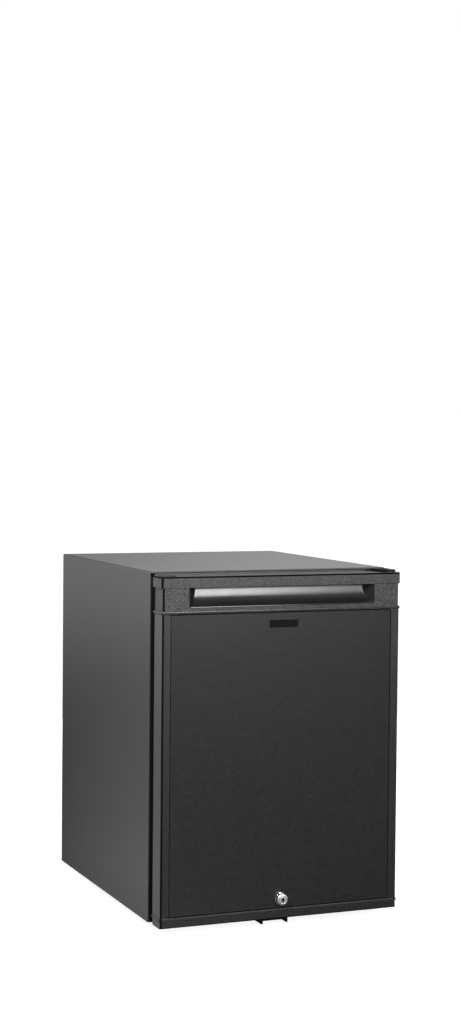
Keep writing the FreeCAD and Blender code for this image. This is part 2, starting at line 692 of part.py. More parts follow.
def door_liner():
    """Inner liner of the door with two upright ribs that carry the racks."""
    plate = wide(192.0, (DOOR_BACK_Y, LINER_BACK_Y), (DOOR_Z0 + 7.0, DOOR_Z1 - 9.0))
    plate = rounded(plate, 6.0, lambda middle, way: along(way, Y_AXIS))
    pieces = [plate]
    rib = block(RIB_X, (LINER_BACK_Y - 0.5, RIB_CREST_Y), RIB_Z)
    rib = rounded(rib, 4.0, lambda middle, way: middle.y > RIB_CREST_Y - 0.1)
    hollow = rib_hollow()
    ledges = []
    for floor, height in RACKS.values():
        top = floor + height - 7.0 - GASKET_GAP
        ledges.append(block((RIB_X[0] - 3.6, RIB_X[0] + 1), (-204.0, -172.0), (top - 6.0, top)))
    rib = fuse([rib] + ledges)
    pieces += [rib, mirrored(rib)]
    liner = fuse(pieces)
    return liner.cut(hollow).cut(mirrored(hollow)).cut(hinge_notch(0.0))


def door_foam():
    """Foam core of the door, shaped by the pieces round it."""
    wide_half = BODY_HALF_WIDTH - PROFILE_WALL
    narrow_half = HANDLE_HALF_WIDTH - MOULDING_WALL
    depth = (PANEL_BACK_Y, DOOR_BACK_Y)
    low = wide(wide_half, depth, (DOOR_Z0 + MOULDING_WALL, PANEL_Z1))
    high = wide(narrow_half, depth, (PANEL_Z1 - 1, DOOR_Z1 - MOULDING_WALL))
    core = fuse([low, high, rib_hollow(), mirrored(rib_hollow())])
    right = side_profile()
    for piece in [door_top_cap(), door_bottom_cap(), right, mirrored(right),
                  scoop_body(SCOOP_WALL), scoop_body(0.0), lock_housing_outside(), lock_body(),
                  hinge_notch(MOULDING_WALL), door_plug_seat(), bush_hole(), bottom_bush_hole(),
                  door_magnet()]:
        core = core.cut(piece)
    return max(core.Solids, key=lambda solid: solid.Volume)


def door_gasket():
    """Soft magnetic seal, a closed ring with a shallow bellows groove."""
    low, high = INNER_Z0 - 20.5, INNER_Z1 + 20.0
    face = FRAME_Y - GASKET_GAP
    ring = wide(186.0, (LINER_BACK_Y, face), (low, high))
    ring = rounded(ring, 6.0, lambda middle, way: along(way, Y_AXIS))
    hole = wide(168.0, (LINER_BACK_Y - 1, face + 1), (low + 17.5, high - 17.5))
    hole = rounded(hole, 4.0, lambda middle, way: along(way, Y_AXIS))
    kept = wide(184.0, (LINER_BACK_Y, face), (low + 2.0, high - 2.0))
    kept = rounded(kept, 5.0, lambda middle, way: along(way, Y_AXIS))
    waist = wide(190.0, (LINER_BACK_Y + 3.5, face - 3.2), (low - 4, high + 4)).cut(kept)
    return ring.cut(hole).cut(waist)


def door_magnet():
    return block((52.0, 66.0), (DOOR_BACK_Y - 6.0, DOOR_BACK_Y), (INNER_Z1 + 4.0, INNER_Z1 + 14.0))


def badge_plate():
    """Small blank plate on the front panel."""
    badge = block((-23.0, 25.0), (PANEL_FRONT_Y - 0.8, PANEL_FRONT_Y), (467.6, 479.6))
    return rounded(badge, 1.5, lambda middle, way: along(way, Y_AXIS))


# Lock


def lock_body():
    """Nickel-plated cylinder lock: a domed head and a threaded barrel."""
    face = DOOR_FRONT_Y - LOCK_PROUD
    head = rod(LOCK_HEAD_RADIUS, LOCK_PROUD + PANEL_INSET, point(0, face, LOCK_Z), Y_AXIS)
    rim = [e for e in head.Edges if near(e.CenterOfMass.y, face) and isinstance(e.Curve, Part.Circle)]
    head = head.makeFillet(1.6, rim)
    barrel = rod(LOCK_BARREL_RADIUS, CAM_Y - 0.4 - PANEL_FRONT_Y, point(0, PANEL_FRONT_Y, LOCK_Z), Y_AXIS)
    bore = rod(LOCK_PLUG_RADIUS + RUNNING_CLEARANCE, 60.0, point(0, DOOR_FRONT_Y - 20.0, LOCK_Z), Y_AXIS)
    return fuse([head, barrel]).cut(bore)


def lock_nut():
    """Hexagon nut that clamps the barrel from behind the panel."""
    thickness = 4.0
    reach = 10.5 / math.cos(math.radians(30))
    turns = [math.radians(60 * i) for i in range(6)]
    corners = [point(reach * math.cos(a), PANEL_BACK_Y, LOCK_Z + reach * math.sin(a)) for a in turns]
    bore = rod(LOCK_BARREL_RADIUS, 12.0, point(0, PANEL_BACK_Y - 2, LOCK_Z), Y_AXIS)
    return prism(corners, Y_AXIS * thickness).cut(bore)


def lock_housing_outside():
    return block((-45.0, 17.0), (PANEL_BACK_Y, CAM_Y + CAM_THICKNESS + 6.5),
                 (DOOR_Z0 + MOULDING_WALL, LOCK_Z + 15.0))


def lock_housing():
    """Plastic box in the door that keeps the foam off the lock and its cam."""
    inside = block((-43.5, 15.5), (PANEL_BACK_Y - 1, CAM_Y + CAM_THICKNESS + 5.0),
                   (DOOR_Z0, LOCK_Z + 13.5))
    return lock_housing_outside().cut(inside)


def lock_plug():
    """Turning core of the lock with its keyway and a square drive for the cam."""
    front = DOOR_FRONT_Y - LOCK_PROUD + 0.4
    plug = rod(LOCK_PLUG_RADIUS, CAM_Y - front, point(0, front, LOCK_Z), Y_AXIS)
    keyway = fuse([block((-0.8, 0.8), (front - 1, front + 12.0), (LOCK_Z - 3.6, LOCK_Z + 3.6)),
                   block((-0.8, 1.9), (front - 1, front + 12.0), (LOCK_Z + 0.6, LOCK_Z + 2.0))])
    drive = block((-3.0, 3.0), (CAM_Y - 0.5, CAM_Y + CAM_THICKNESS + 0.8), (LOCK_Z - 3.0, LOCK_Z + 3.0))
    return fuse([plug.cut(keyway), drive])


def lock_cam():
    """Steel tongue that points sideways inside the door when unlocked."""
    hub = rod(8.0, CAM_THICKNESS, point(0, CAM_Y, LOCK_Z), Y_AXIS)
    tongue = block((-CAM_LENGTH, 0.0), (CAM_Y, CAM_Y + CAM_THICKNESS), (LOCK_Z - 5.0, LOCK_Z + 5.0))
    tongue = rounded(tongue, 3.0, lambda middle, way: along(way, Y_AXIS) and middle.x < -1)
    drive = block((-3.0, 3.0), (CAM_Y - 1, CAM_Y + CAM_THICKNESS + 1), (LOCK_Z - 3.0, LOCK_Z + 3.0))
    return fuse([hub, tongue]).cut(drive)


def door_rack(floor, height):
    """Open trough that hangs by two ears on the door's ribs."""
    back = LINER_BACK_Y + 1.0
    outer = wide(RACK_HALF_WIDTH, (back, back + RACK_DEPTH), (floor, floor + height))
    outer = rounded(outer, 9.0, lambda middle, way: along(way, Z_AXIS))
    inner = wide(RACK_HALF_WIDTH - RACK_WALL, (back + RACK_WALL, back + RACK_DEPTH - RACK_WALL),
                 (floor + RACK_WALL, floor + height + 1))
    inner = rounded(inner, 9.0 - RACK_WALL, lambda middle, way: along(way, Z_AXIS))
    ear_top = floor + height - 2.0
    ear = block((RACK_HALF_WIDTH - 1.0, RIB_X[0] - 0.4), (-203.0, -173.0), (ear_top - 5.0, ear_top))
    return fuse([outer.cut(inner), ear, mirrored(ear)])


# Cooling unit behind the insulated box


def unit_tube(points, radius, bend):
    return tube([(x, UNIT_Y, z) for x, z in points], radius, bend)


def rectifier_tube():
    """Tube that rises through the boiler and bends over into the condenser."""
    route = [(BOILER_X, 66.0), (BOILER_X, 440.0), (-100.0, CONDENSER_START[1]), CONDENSER_START]
    return unit_tube(route, MAIN_TUBE_RADIUS, 24.0)


def boiler_drum(inset):
    """Upright drum round the boiler, drawn in by an inset on every side."""
    drum = rod(JACKET_RADIUS - inset, 255.0 - 2 * inset, point(BOILER_X, UNIT_Y, 90.0 + inset), Z_AXIS)
    drum = drum.makeFillet(4.0 - inset, [e for e in drum.Edges if isinstance(e.Curve, Part.Circle)])
    return drum.cut(rectifier_tube()).cut(heater_cartridge())


def boiler_jacket():
    return boiler_drum(0.0).cut(boiler_drum(SHEET))


def boiler_wool():
    """Mineral wool packed round the boiler inside its jacket."""
    return boiler_drum(SHEET)


def heater_cartridge():
    return rod(6.0, 106.0, point(CARTRIDGE_X, UNIT_Y, 84.0), Z_AXIS)


def heater_lead():
    top, low = 84.0, CONTROL_BOX_TOP
    return rod(2.5, top - low, point(CARTRIDGE_X, UNIT_Y, low), Z_AXIS)


def condenser_tube():
    start = point(CONDENSER_START[0], UNIT_Y, CONDENSER_START[1])
    end = point(CONDENSER_END[0], UNIT_Y, CONDENSER_END[1])
    run = end - start
    length = run.Length
    return rod(MAIN_TUBE_RADIUS, length, start, run.normalize())


def condenser_fins():
    """Thin square fins threaded on the sloping condenser tube."""
    slope = (CONDENSER_END[1] - CONDENSER_START[1]) / (CONDENSER_END[0] - CONDENSER_START[0])
    fins = []
    count, first, pitch = 18, -40.0, 9.8
    for i in range(count):
        x = first + i * pitch
        z = CONDENSER_START[1] + slope * (x - CONDENSER_START[0])
        fin = block((x - 0.5, x + 0.5), (UNIT_Y - 26.0, UNIT_Y + 26.0), (z - 26.0, z + 26.0))
        fins.append(fin.cut(condenser_tube()))
    return group(fins)


def evaporator_tube():
    """Loop from the condenser through the rear wall, behind the finned plate and out again."""
    upper, lower = 444.0, 412.0
    buried_y = INNER_BACK_Y + LINER_WALL + 8.5
    turn_z = CONDENSER_END[1] - 2.06
    route = [(CONDENSER_END[0], UNIT_Y, CONDENSER_END[1]), (EXCHANGER_X, UNIT_Y, turn_z),
             (EXCHANGER_X, UNIT_Y, upper), (EXCHANGER_X, buried_y, upper), (-90.0, buried_y, upper),
             (-90.0, buried_y, lower), (EXCHANGER_X, buried_y, lower), (EXCHANGER_X, UNIT_Y, lower),
             (EXCHANGER_X, UNIT_Y, 386.0)]
    return tube(route, 7.0, 14.0)


def heat_exchanger():
    return unit_tube([(EXCHANGER_X, 386.0), (EXCHANGER_X, VESSEL_Z), (150.0, VESSEL_Z)], 10.0, 15.0)


def absorber_vessel():
    vessel = rod(26.0, 220.0, point(-70.0, UNIT_Y, VESSEL_Z), X_AXIS)
    return vessel.makeFillet(12.0, [e for e in vessel.Edges if isinstance(e.Curve, Part.Circle)])


def absorber_coil():
    """Serpentine that climbs from the vessel to the boiler in six runs."""
    left, right = -46.0, 132.0
    first_level, pitch, runs = 146.0, 31.0, 6
    route = [(-56.0, VESSEL_Z + 26.0), (-56.0, first_level)]
    for i in range(runs):
        z = first_level + i * pitch
        heading_right = i % 2 == 0
        if i > 0:
            route.append((left if heading_right else right, z))
        last = i == runs - 1
        if last:
            route.append((BOILER_X + JACKET_RADIUS, z))
        else:
            route.append((right if heading_right else left, z))
    return unit_tube(route, 7.5, 15.0)


def control_box():
    """Housing of the electronics, screwed to the rear wall, with a well for the lead."""
    box = block((-184.0, -92.0), (WALL_BACK_Y + SHEET, 246.0), (18.0, CONTROL_BOX_TOP))
    box = rounded(box, 2.5, lambda middle, way: middle.z > CONTROL_BOX_TOP - 1 or along(way, Z_AXIS))
    return box.cut(rod(GLAND_BORE + 1.4, 7.0, point(GLAND_X, 240.0, GLAND_Z), Y_AXIS))


def cable_gland():
    """Gland on the back of the control box, where the mains lead enters."""
    gland = rod(7.5, 10.0, point(GLAND_X, 246.0, GLAND_Z), Y_AXIS)
    return gland.cut(rod(GLAND_BORE, 12.0, point(GLAND_X, 245.0, GLAND_Z), Y_AXIS))


def unit_straps():
    """Two hat-shaped steel straps that hold the cooling unit to the rear wall."""
    straps = []
    wall = WALL_BACK_Y + SHEET
    rear = REAR_Y - SHEET
    for low in STRAP_LEVELS:
        band = (low, low + STRAP_HEIGHT)
        bar = wide(184.0, (rear - 2.0, rear), band)
        leg = block((182.0, 184.0), (wall, rear), band)
        foot = block((165.0, 184.0), (wall, wall + 2.0), band)
        straps.append(fuse([bar, leg, foot, mirrored(leg), mirrored(foot)]).cut(unit_screws()))
    return group(straps)


def unit_screws():
    face = WALL_BACK_Y + SHEET + 2.0
    screws = []
    for low in STRAP_LEVELS:
        for x in (-173.0, 173.0):
            place = point(x, face, low + STRAP_HEIGHT / 2)
            screws.append(pan_head_screw(place, Y_AXIS, shank=12.0))
    return group(screws)


def trimmed(shape, cutters):
    for cutter in cutters:
        shape = shape.cut(cutter)
    return shape


def build_nodes():
    """Every sub-part by its node name."""
    left_foot, right_foot = front_foot_places()
    profile = side_profile()
    nodes = {
        "outer_shell": trimmed(outer_shell(), [cabinet_screws()]),
        "base_panel": trimmed(base_panel(), [cabinet_screws()]),
        "back_panel": trimmed(back_panel(), [outer_shell(), evaporator_tube(), drain_tube(True),
                                             unit_screws()]),
        "insulation": insulation(),
        "inner_liner": trimmed(inner_liner(), [drain_tube(True)]),
        "front_frame": trimmed(front_frame(), [cabinet_screws()]),
        "evaporator_fins": evaporator_fins(),
        "drip_tray": drip_tray(),
        "drain_tube": drain_tube(),
        "drain_pan": drain_pan(),
        "lamp_housing": lamp_housing(),
        "lamp_lens": lamp_lens(),
        "door_switch": door_switch(),
        "thermostat_knob": thermostat_knob(),
        "front_foot_left": front_foot(left_foot),
        "front_foot_right": front_foot(right_foot),
        "rear_feet": rear_feet(),
        "hinge_bracket_top": hinge_bracket_top(),
        "hinge_bracket_bottom": hinge_bracket_bottom(),
        "hinge_pins": hinge_pins(),
        "hinge_bushes": hinge_bushes(),
        "hinge_hole_plugs": hinge_hole_plugs(),
        "cabinet_screws": cabinet_screws(),
        "lock_strike": lock_strike(),
        "door_top_cap": door_top_cap(),
        "door_hole_plug": door_hole_plug(),
        "handle_scoop": handle_scoop(),
        "door_bottom_cap": door_bottom_cap(),
        "door_profile_right": profile,
        "door_profile_left": mirrored(profile),
        "door_front_panel": door_front_panel(),
        "door_foam": door_foam(),
        "door_liner": door_liner(),
        "door_gasket": door_gasket(),
        "door_magnet": door_magnet(),
        "badge_plate": badge_plate(),
        "lock_body": lock_body(),
        "lock_nut": lock_nut(),
        "lock_housing": trimmed(lock_housing(), [door_bottom_cap()]),
        "lock_plug": lock_plug(),
        "lock_cam": lock_cam(),
        "boiler_jacket": boiler_jacket(),
        "boiler_wool": boiler_wool(),
        "heater_cartridge": heater_cartridge(),
        "heater_lead": heater_lead(),
        "rectifier_tube": rectifier_tube(),
        "condenser_tube": trimmed(condenser_tube(), [rectifier_tube()]),
        "condenser_fins": condenser_fins(),
        "evaporator_tube": evaporator_tube(),
        "heat_exchanger": heat_exchanger(),
        "absorber_vessel": absorber_vessel(),
        "absorber_coil": absorber_coil(),
        "control_box": control_box(),
        "cable_gland": cable_gland(),
        "unit_straps": unit_straps(),
        "unit_screws": unit_screws(),
    }
    for name, level in SHELF_LEVELS.items():
        nodes[name] = wire_shelf(level)
    for name, (floor, height) in RACKS.items():
        nodes[name] = door_rack(floor, height)
    return nodes


def main():
    os.makedirs("parts", exist_ok=True)
    for name, shape in build_nodes().items():
        shape.exportStep(os.path.join("parts", name + ".step"))
        box = shape.BoundBox
        low = (box.XMin, box.YMin, box.ZMin)
        high = (box.XMax, box.YMax, box.ZMax)
        print("%-22s solids %2d valid %s low %.1f %.1f %.1f high %.1f %.1f %.1f" % (
            (name, len(shape.Solids), shape.isValid()) + low + high))


main()
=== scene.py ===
"""Looks of a compact absorption minibar: finishes, fine pieces, studio and camera."""
import json
import logging
import math
from collections.abc import Iterable, Mapping, Sequence
from dataclasses import dataclass
from enum import Enum
from typing import Any, Optional, Union

import bmesh
import bpy
from mathutils import Matrix, Vector


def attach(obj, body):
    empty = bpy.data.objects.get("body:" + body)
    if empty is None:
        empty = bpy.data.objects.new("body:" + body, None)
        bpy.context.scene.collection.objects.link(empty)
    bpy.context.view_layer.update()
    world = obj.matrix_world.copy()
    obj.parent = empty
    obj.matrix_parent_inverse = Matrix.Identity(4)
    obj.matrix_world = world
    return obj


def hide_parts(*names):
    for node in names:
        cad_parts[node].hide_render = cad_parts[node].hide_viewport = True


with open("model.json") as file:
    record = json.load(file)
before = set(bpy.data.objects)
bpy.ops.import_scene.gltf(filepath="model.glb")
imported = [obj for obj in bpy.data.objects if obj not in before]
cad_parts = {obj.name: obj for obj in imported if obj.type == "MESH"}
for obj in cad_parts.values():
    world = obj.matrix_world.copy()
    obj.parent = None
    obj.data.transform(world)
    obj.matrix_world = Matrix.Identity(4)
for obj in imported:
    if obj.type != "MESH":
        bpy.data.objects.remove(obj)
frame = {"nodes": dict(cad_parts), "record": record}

LOG = logging.getLogger("minibar")
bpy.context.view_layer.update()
MM = 0.001

Point = tuple[float, float, float]
Flat = tuple[float, float]
Box = tuple[Point, Point]
Outline = tuple[Flat, ...]
Places = tuple[Point, ...]
Value = Union["Wire", float, int, Sequence[float]]
Inputs = Mapping[Union[str, int], Value]

UP: Point = (0.0, 0.0, 1.0)
DOWN: Point = (0.0, 0.0, -1.0)
FORWARD: Point = (0.0, -1.0, 0.0)
BACKWARD: Point = (0.0, 1.0, 0.0)
RIGHTWARD: Point = (1.0, 0.0, 0.0)
LEFTWARD: Point = (-1.0, 0.0, 0.0)
WHITE_LIGHT = (1.0, 1.0, 1.0)
# Near-black matt shader that mouldings mix in as painted shade.
DEEP_SHADE: Inputs = {"Base Color": (0.003, 0.003, 0.003), "Roughness": 0.8, "IOR": 1.09}


# Shader writing


class Wire:
    """An output socket, so that shader maths can be written as a Python expression."""

    def __init__(self, graph: "Graph", socket: bpy.types.NodeSocket) -> None:
        """Keep the socket and the graph that it belongs to."""
        self.graph = graph
        self.socket = socket

    def __add__(self, other: Value) -> "Wire":
        """Sum of this and another value."""
        return self.graph.maths("ADD", self, other)

    def __sub__(self, other: Value) -> "Wire":
        """Difference between this and another value."""
        return self.graph.maths("SUBTRACT", self, other)

    def __rsub__(self, other: Value) -> "Wire":
        """Difference with this value on the right."""
        return self.graph.maths("SUBTRACT", other, self)

    def __mul__(self, other: Value) -> "Wire":
        """Product of this and another value."""
        return self.graph.maths("MULTIPLY", self, other)

    __radd__ = __add__
    __rmul__ = __mul__

    def __gt__(self, other: Value) -> "Wire":
        """One where this is greater than the other value, else nought."""
        return self.graph.maths("GREATER_THAN", self, other)

    def __lt__(self, other: Value) -> "Wire":
        """One where this is less than the other value, else nought."""
        return self.graph.maths("LESS_THAN", self, other)

    def most(self, other: Value) -> "Wire":
        """Greater of this and another value."""
        return self.graph.maths("MAXIMUM", self, other)

    def within(self, low: float, high: float) -> "Wire":
        """One between two levels, else nought."""
        return (self > low) * (self < high)

    def swing(self, reach: float) -> "Wire":
        """Turn a pattern from nought to one into a swing about nought."""
        return (self - 0.5) * (2.0 * reach)

    def ramp(self, low: float, high: float, start: float = 0.0, end: float = 1.0) -> "Wire":
        """Turn a stretch of this value smoothly into another.

        Args:
            low: Value at which the result is start.
            high: Value at which the result is end.
            start: Result at low and below.
            end: Result at high and above.

        Returns:
            The smoothed value.
        """
        settings = {"interpolation_type": "SMOOTHSTEP"}
        return self.graph.add("ShaderNodeMapRange", settings, {0: self, 1: low, 2: high, 3: start, 4: end})


class Graph:
    """A shader tree in which one method adds any node."""

    def __init__(self, tree: bpy.types.NodeTree) -> None:
        """Keep the tree and clear it."""
        tree.nodes.clear()
        self.tree = tree

    def add(self, kind: str, settings: Optional[Mapping[str, Any]] = None,
            inputs: Optional[Inputs] = None, output: Union[str, int] = 0) -> Wire:
        """Add a node, set it up and join its inputs.

        Args:
            kind: Type name of the node.
            settings: Properties that are set first.
            inputs: Values or wires by socket name or number.
            output: Name or number of the socket that is given back.

        Returns:
            The chosen output of the new node, or the first input of one without outputs.
        """
        node = self.tree.nodes.new(kind)
        for name, value in (settings or {}).items():
            setattr(node, name, value)
        for key, value in (inputs or {}).items():
            self.join(value, node.inputs[key])
        return Wire(self, node.outputs[output] if node.outputs else node.inputs[0])

    def join(self, value: Value, socket: bpy.types.NodeSocket) -> None:
        """Link a wire to a socket, or set the socket's own value.

        Args:
            value: Wire or constant.
            socket: Input that takes it.
        """
        if isinstance(value, Wire):
            self.tree.links.new(value.socket, socket)
        elif socket.type == "RGBA":
            socket.default_value = (*value, 1.0)
        else:
            socket.default_value = value

    def maths(self, operation: str, first: Value, second: Value) -> Wire:
        """Add a Math node with an operation and its two values."""
        return self.add("ShaderNodeMath", {"operation": operation}, {0: first, 1: second})

    def place(self) -> Wire:
        """Place on the piece, in metres of the model's frame."""
        return self.add("ShaderNodeTexCoord", output="Object")

    def axis(self, number: int, of: Optional[Wire] = None) -> Wire:
        """One coordinate of a vector, or of the place on the piece."""
        return self.add("ShaderNodeSeparateXYZ", inputs={0: of or self.place()}, output=number)

    def noise(self, scale: float, detail: float, where: Optional[Wire] = None) -> Wire:
        """Cloudy pattern of so many clouds per metre, between nought and one."""
        inputs = {"Vector": where or self.place(), "Scale": scale, "Detail": detail}
        return self.add("ShaderNodeTexNoise", inputs=inputs)

    def grey(self, level: Wire) -> Wire:
        """Grey of a brightness."""
        return self.add("ShaderNodeCombineColor", inputs={0: level, 1: level, 2: level})

    def tinted(self, colour: Point, level: Wire) -> Wire:
        """Colour multiplied by a brightness."""
        settings = {"data_type": "RGBA", "blend_type": "MULTIPLY"}
        return self.add("ShaderNodeMix", settings, {0: 1.0, 6: colour, 7: self.grey(level)}, output=2)

    def bump(self, height: Wire, distance: float, under: Optional[Wire] = None) -> Wire:
        """Turn a height into a surface direction.

        Args:
            height: Pattern from nought to one.
            distance: Height in metres that one stands for.
            under: Direction of a coarser bump below this one.

        Returns:
            The direction.
        """
        inputs: dict[Union[str, int], Value] = {"Height": height, "Distance": distance}
        if under is not None:
            inputs["Normal"] = under
        return self.add("ShaderNodeBump", inputs=inputs)

    def rays(self) -> tuple[Wire, Wire]:
        """Sort the rays, so that the studio can be white to the eye and plainer in mirror images.

        Returns:
            One for rays seen directly or through clear pieces, and one for mirrored rays.
        """
        names = ("Is Camera Ray", "Is Glossy Ray", "Is Transmission Ray")
        camera, glossy, clear = (self.add("ShaderNodeLightPath", output=name) for name in names)
        return camera.most(clear), glossy


# Finishes


class Tone(Enum):
    """Base colours of the minibar, as written in linear light."""

    SHELL = (0.042, 0.042, 0.042)
    MOULDING = (0.0185, 0.0185, 0.0185)
    STRIP = (0.009, 0.009, 0.009)
    PANEL = (0.0092, 0.0092, 0.0092)
    SCOOP = (0.005, 0.005, 0.005)
    BLACK = (0.006, 0.006, 0.006)
    # Near black for pieces that stand in for shade in grooves, gaps and the keyway: painted shade.
    PAINTED_SHADE = (0.002, 0.002, 0.002)
    FRAME = (0.026, 0.026, 0.026)
    WHITE = (0.780, 0.790, 0.790)
    # The liner's white, darkened for the door where strong light falls on it: painted shade.
    DOOR = (0.560, 0.570, 0.570)
    KNOB = (0.620, 0.630, 0.640)
    CLEAR = (0.900, 0.930, 0.940)
    ZINC = (0.560, 0.570, 0.580)
    STEEL = (0.600, 0.590, 0.570)
    NICKEL = (0.780, 0.770, 0.750)
    SATIN = (0.620, 0.615, 0.605)
    ALUMINIUM = (0.760, 0.770, 0.780)
    GREY = (0.180, 0.185, 0.190)
    FOAM = (0.740, 0.640, 0.360)
    WOOL = (0.500, 0.440, 0.280)
    UNIT = (0.018, 0.018, 0.019)
    GASKET = (0.030, 0.031, 0.032)
    RUBBER = (0.016, 0.016, 0.016)


@dataclass(frozen=True)
class Finish:
    """A plain moulded or coated surface with a fine grain and soft patches."""

    name: str
    tone: Tone
    roughness: float = 0.5
    metallic: float = 0.0
    ior: float = 1.5
    transmission: float = 0.0
    patchiness: float = 0.06
    patches_per_metre: float = 14.0
    grain_height: float = 2e-5
    grains_per_metre: float = 900.0
    grain_contrast: float = 0.0
    grain_stretch: Point = (1.0, 1.0, 1.0)
    gloss_drift: float = 0.05
    gloss_fineness: float = 2.2

    def material(self) -> bpy.types.Material:
        """Make the material.

        Returns:
            The material, named after the finish.
        """
        made = bpy.data.materials.new(self.name)
        made.use_nodes = True
        graph = Graph(made.node_tree)
        graph.add("ShaderNodeOutputMaterial", inputs={"Surface": self.surface(graph)})
        return made

    def surface(self, graph: Graph) -> Wire:
        """Join the finish's own parts to one shader.

        Args:
            graph: Shader tree of the material.

        Returns:
            The shader of the surface.
        """
        return graph.add("ShaderNodeBsdfPrincipled", inputs={
            "Base Color": graph.tinted(self.tone.value, self.level(graph)),
            "Roughness": self.sheen(graph), "Metallic": self.metallic, "IOR": self.ior,
            "Transmission Weight": self.transmission, "Normal": self.relief(graph)})

    def level(self, graph: Graph) -> Wire:
        """Brightness about one, with soft patches and a fine speckle."""
        patches = graph.noise(self.patches_per_metre, 3.0).swing(self.patchiness)
        return patches + self.speckle(graph) + 1.0

    def speckle(self, graph: Graph) -> Wire:
        """Share of the grain in the brightness."""
        return self.grain(graph).swing(self.grain_contrast)

    def grain(self, graph: Graph) -> Wire:
        """Fine grain, drawn out where the finish asks for it."""
        inputs = {"Vector": graph.place(), "Scale": self.grain_stretch}
        return graph.noise(self.grains_per_metre, 2.0, graph.add("ShaderNodeMapping", inputs=inputs))

    def sheen(self, graph: Graph) -> Wire:
        """Roughness with a slight drift."""
        drift = graph.noise(self.patches_per_metre * self.gloss_fineness, 2.0).swing(self.gloss_drift)
        return drift + self.roughness

    def relief(self, graph: Graph) -> Wire:
        """Surface direction from the grain."""
        return graph.bump(self.grain(graph), self.grain_height)


@dataclass(frozen=True)
class PeelPaint(Finish):
    """Stoved paint with a faint orange peel over a finer grain."""

    peel_height: float = 5e-6
    peels_per_metre: float = 260.0

    def relief(self, graph: Graph) -> Wire:
        """Surface direction from the peel with the grain on it."""
        peel = graph.bump(graph.noise(self.peels_per_metre, 1.0), self.peel_height)
        return graph.bump(self.grain(graph), self.grain_height, under=peel)


@dataclass(frozen=True)
class Moulding(Finish):
    """Grained moulding with polished beads, painted shade on rounded edges and painted light on its sides.

    Beads, seams and shade bands, and rims start with their low and high level in metres. A bead then
    has its roughness, and a seam or shade band the depth of its painted shade. A rim has the two places
    across the front beyond which painted shade lies on it.
    """

    side_shade: float = 0.0
    side_grain: float = 0.15
    side_painted_light: float = 1.0
    grain_edges: Flat = (0.36, 0.64)
    turning: Flat = (0.5, 0.9)
    beads: Places = ((0.4913, 0.4962, 0.2), (0.0248, 0.0297, 0.5))
    # The first band is painted shade along the cap's top front edge; the second is the dark hairline at the
    # cap's step.
    seams_and_shade_bands: Places = ((0.5462, 0.5500, 1.0), (0.5310, 0.5319, 0.6))
    # The rims paint shade along the left front edges only.
    rims: tuple[tuple[float, float, float, float], ...] = (
        (0.5315, 0.5500, -0.1974, 0.3), (0.4962, 0.5315, -0.1955, 0.3))

    def surface(self, graph: Graph) -> Wire:
        """Mix a deep matt black in as painted shade, where the piece would lie in shade.

        Args:
            graph: Shader tree of the material.

        Returns:
            The shader of the surface.
        """
        dark = graph.add("ShaderNodeBsdfPrincipled", inputs=DEEP_SHADE)
        lit = super().surface(graph)
        return graph.add("ShaderNodeMixShader", inputs={0: self._shaded(graph), 1: lit, 2: dark})

    def level(self, graph: Graph) -> Wire:
        """Brightness, with painted light that lifts it on the sides."""
        # Painted light: the brightness of the sides is multiplied up here.
        lift = self._facing(graph, 0).ramp(0.5, 0.95, 1.0, self.side_painted_light)
        return (super().level(graph) * lift).most(0.0)

    def speckle(self, graph: Graph) -> Wire:
        """Share of the grain in the brightness, smaller on the sides."""
        return super().speckle(graph) * self._facing(graph, 0).ramp(*self.turning, 1.0, self.side_grain)

    def grain(self, graph: Graph) -> Wire:
        """Sharpened grain."""
        return super().grain(graph).ramp(*self.grain_edges)

    def sheen(self, graph: Graph) -> Wire:
        """Roughness with that of the beads in their place."""
        polished, rough = self._polished(graph)
        return super().sheen(graph) * (1.0 - polished) + rough

    def _facing(self, graph: Graph, number: int) -> Wire:
        """Square of the surface direction along one axis."""
        along = graph.axis(number, graph.add("ShaderNodeTexCoord", output="Normal"))
        return along * along

    def _polished(self, graph: Graph) -> tuple[Wire, Wire]:
        """Find the polished beads.

        Args:
            graph: Shader tree of the material.

        Returns:
            One on the beads and nought elsewhere, and the roughness of the beads there.
        """
        height = graph.axis(2)
        polished = rough = height * 0.0
        for low, high, roughness in self.beads:
            inside = height.within(low, high)
            polished = polished + inside
            rough = rough + inside * roughness
        return polished, rough

    def _shaded(self, graph: Graph) -> Wire:
        """Find the painted shade on rounded edges off the beads, on seams, shade bands and rims, and on the
        sides.

        Args:
            graph: Shader tree of the material.

        Returns:
            Share of painted shade.
        """
        x, y, z = (self._facing(graph, number) for number in range(3))
        across, height = graph.axis(0), graph.axis(2)
        # Painted shade: rounded edges off the beads turn deep black.
        edge = ((x * y + y * z + z * x) * 4.0).ramp(0.04, 0.4) * (1.0 - self._polished(graph)[0])
        for low, high, strength in self.seams_and_shade_bands:
            edge = edge.most(height.within(low, high) * (z < 0.9) * strength)
        for low, high, left, right in self.rims:
            beyond = (across < left) + (across > right)
            edge = edge.most(height.within(low, high) * beyond * (y > 0.5))
        # Painted shade on the sides, as far as side_shade asks.
        return edge + x.ramp(*self.turning) * self.side_shade


@dataclass(frozen=True)
class Spangle(Finish):
    """Zinc-coated sheet with its pattern of crystals."""

    crystals_per_metre: float = 90.0

    def level(self, graph: Graph) -> Wire:
        """Brightness that differs slightly from crystal to crystal.

        Args:
            graph: Shader tree of the material.

        Returns:
            The brightness.
        """
        inputs = {"Vector": graph.place(), "Scale": self.crystals_per_metre, "Randomness": 1.0}
        crystal = graph.add("ShaderNodeTexVoronoi", {"feature": "F1"}, inputs, output="Color")
        grey = graph.add("ShaderNodeSeparateColor", inputs={0: crystal}).ramp(0.0, 1.0, 0.86, 1.08)
        return grey * graph.noise(self.patches_per_metre, 3.0).ramp(0.2, 0.8, 0.94, 1.04)


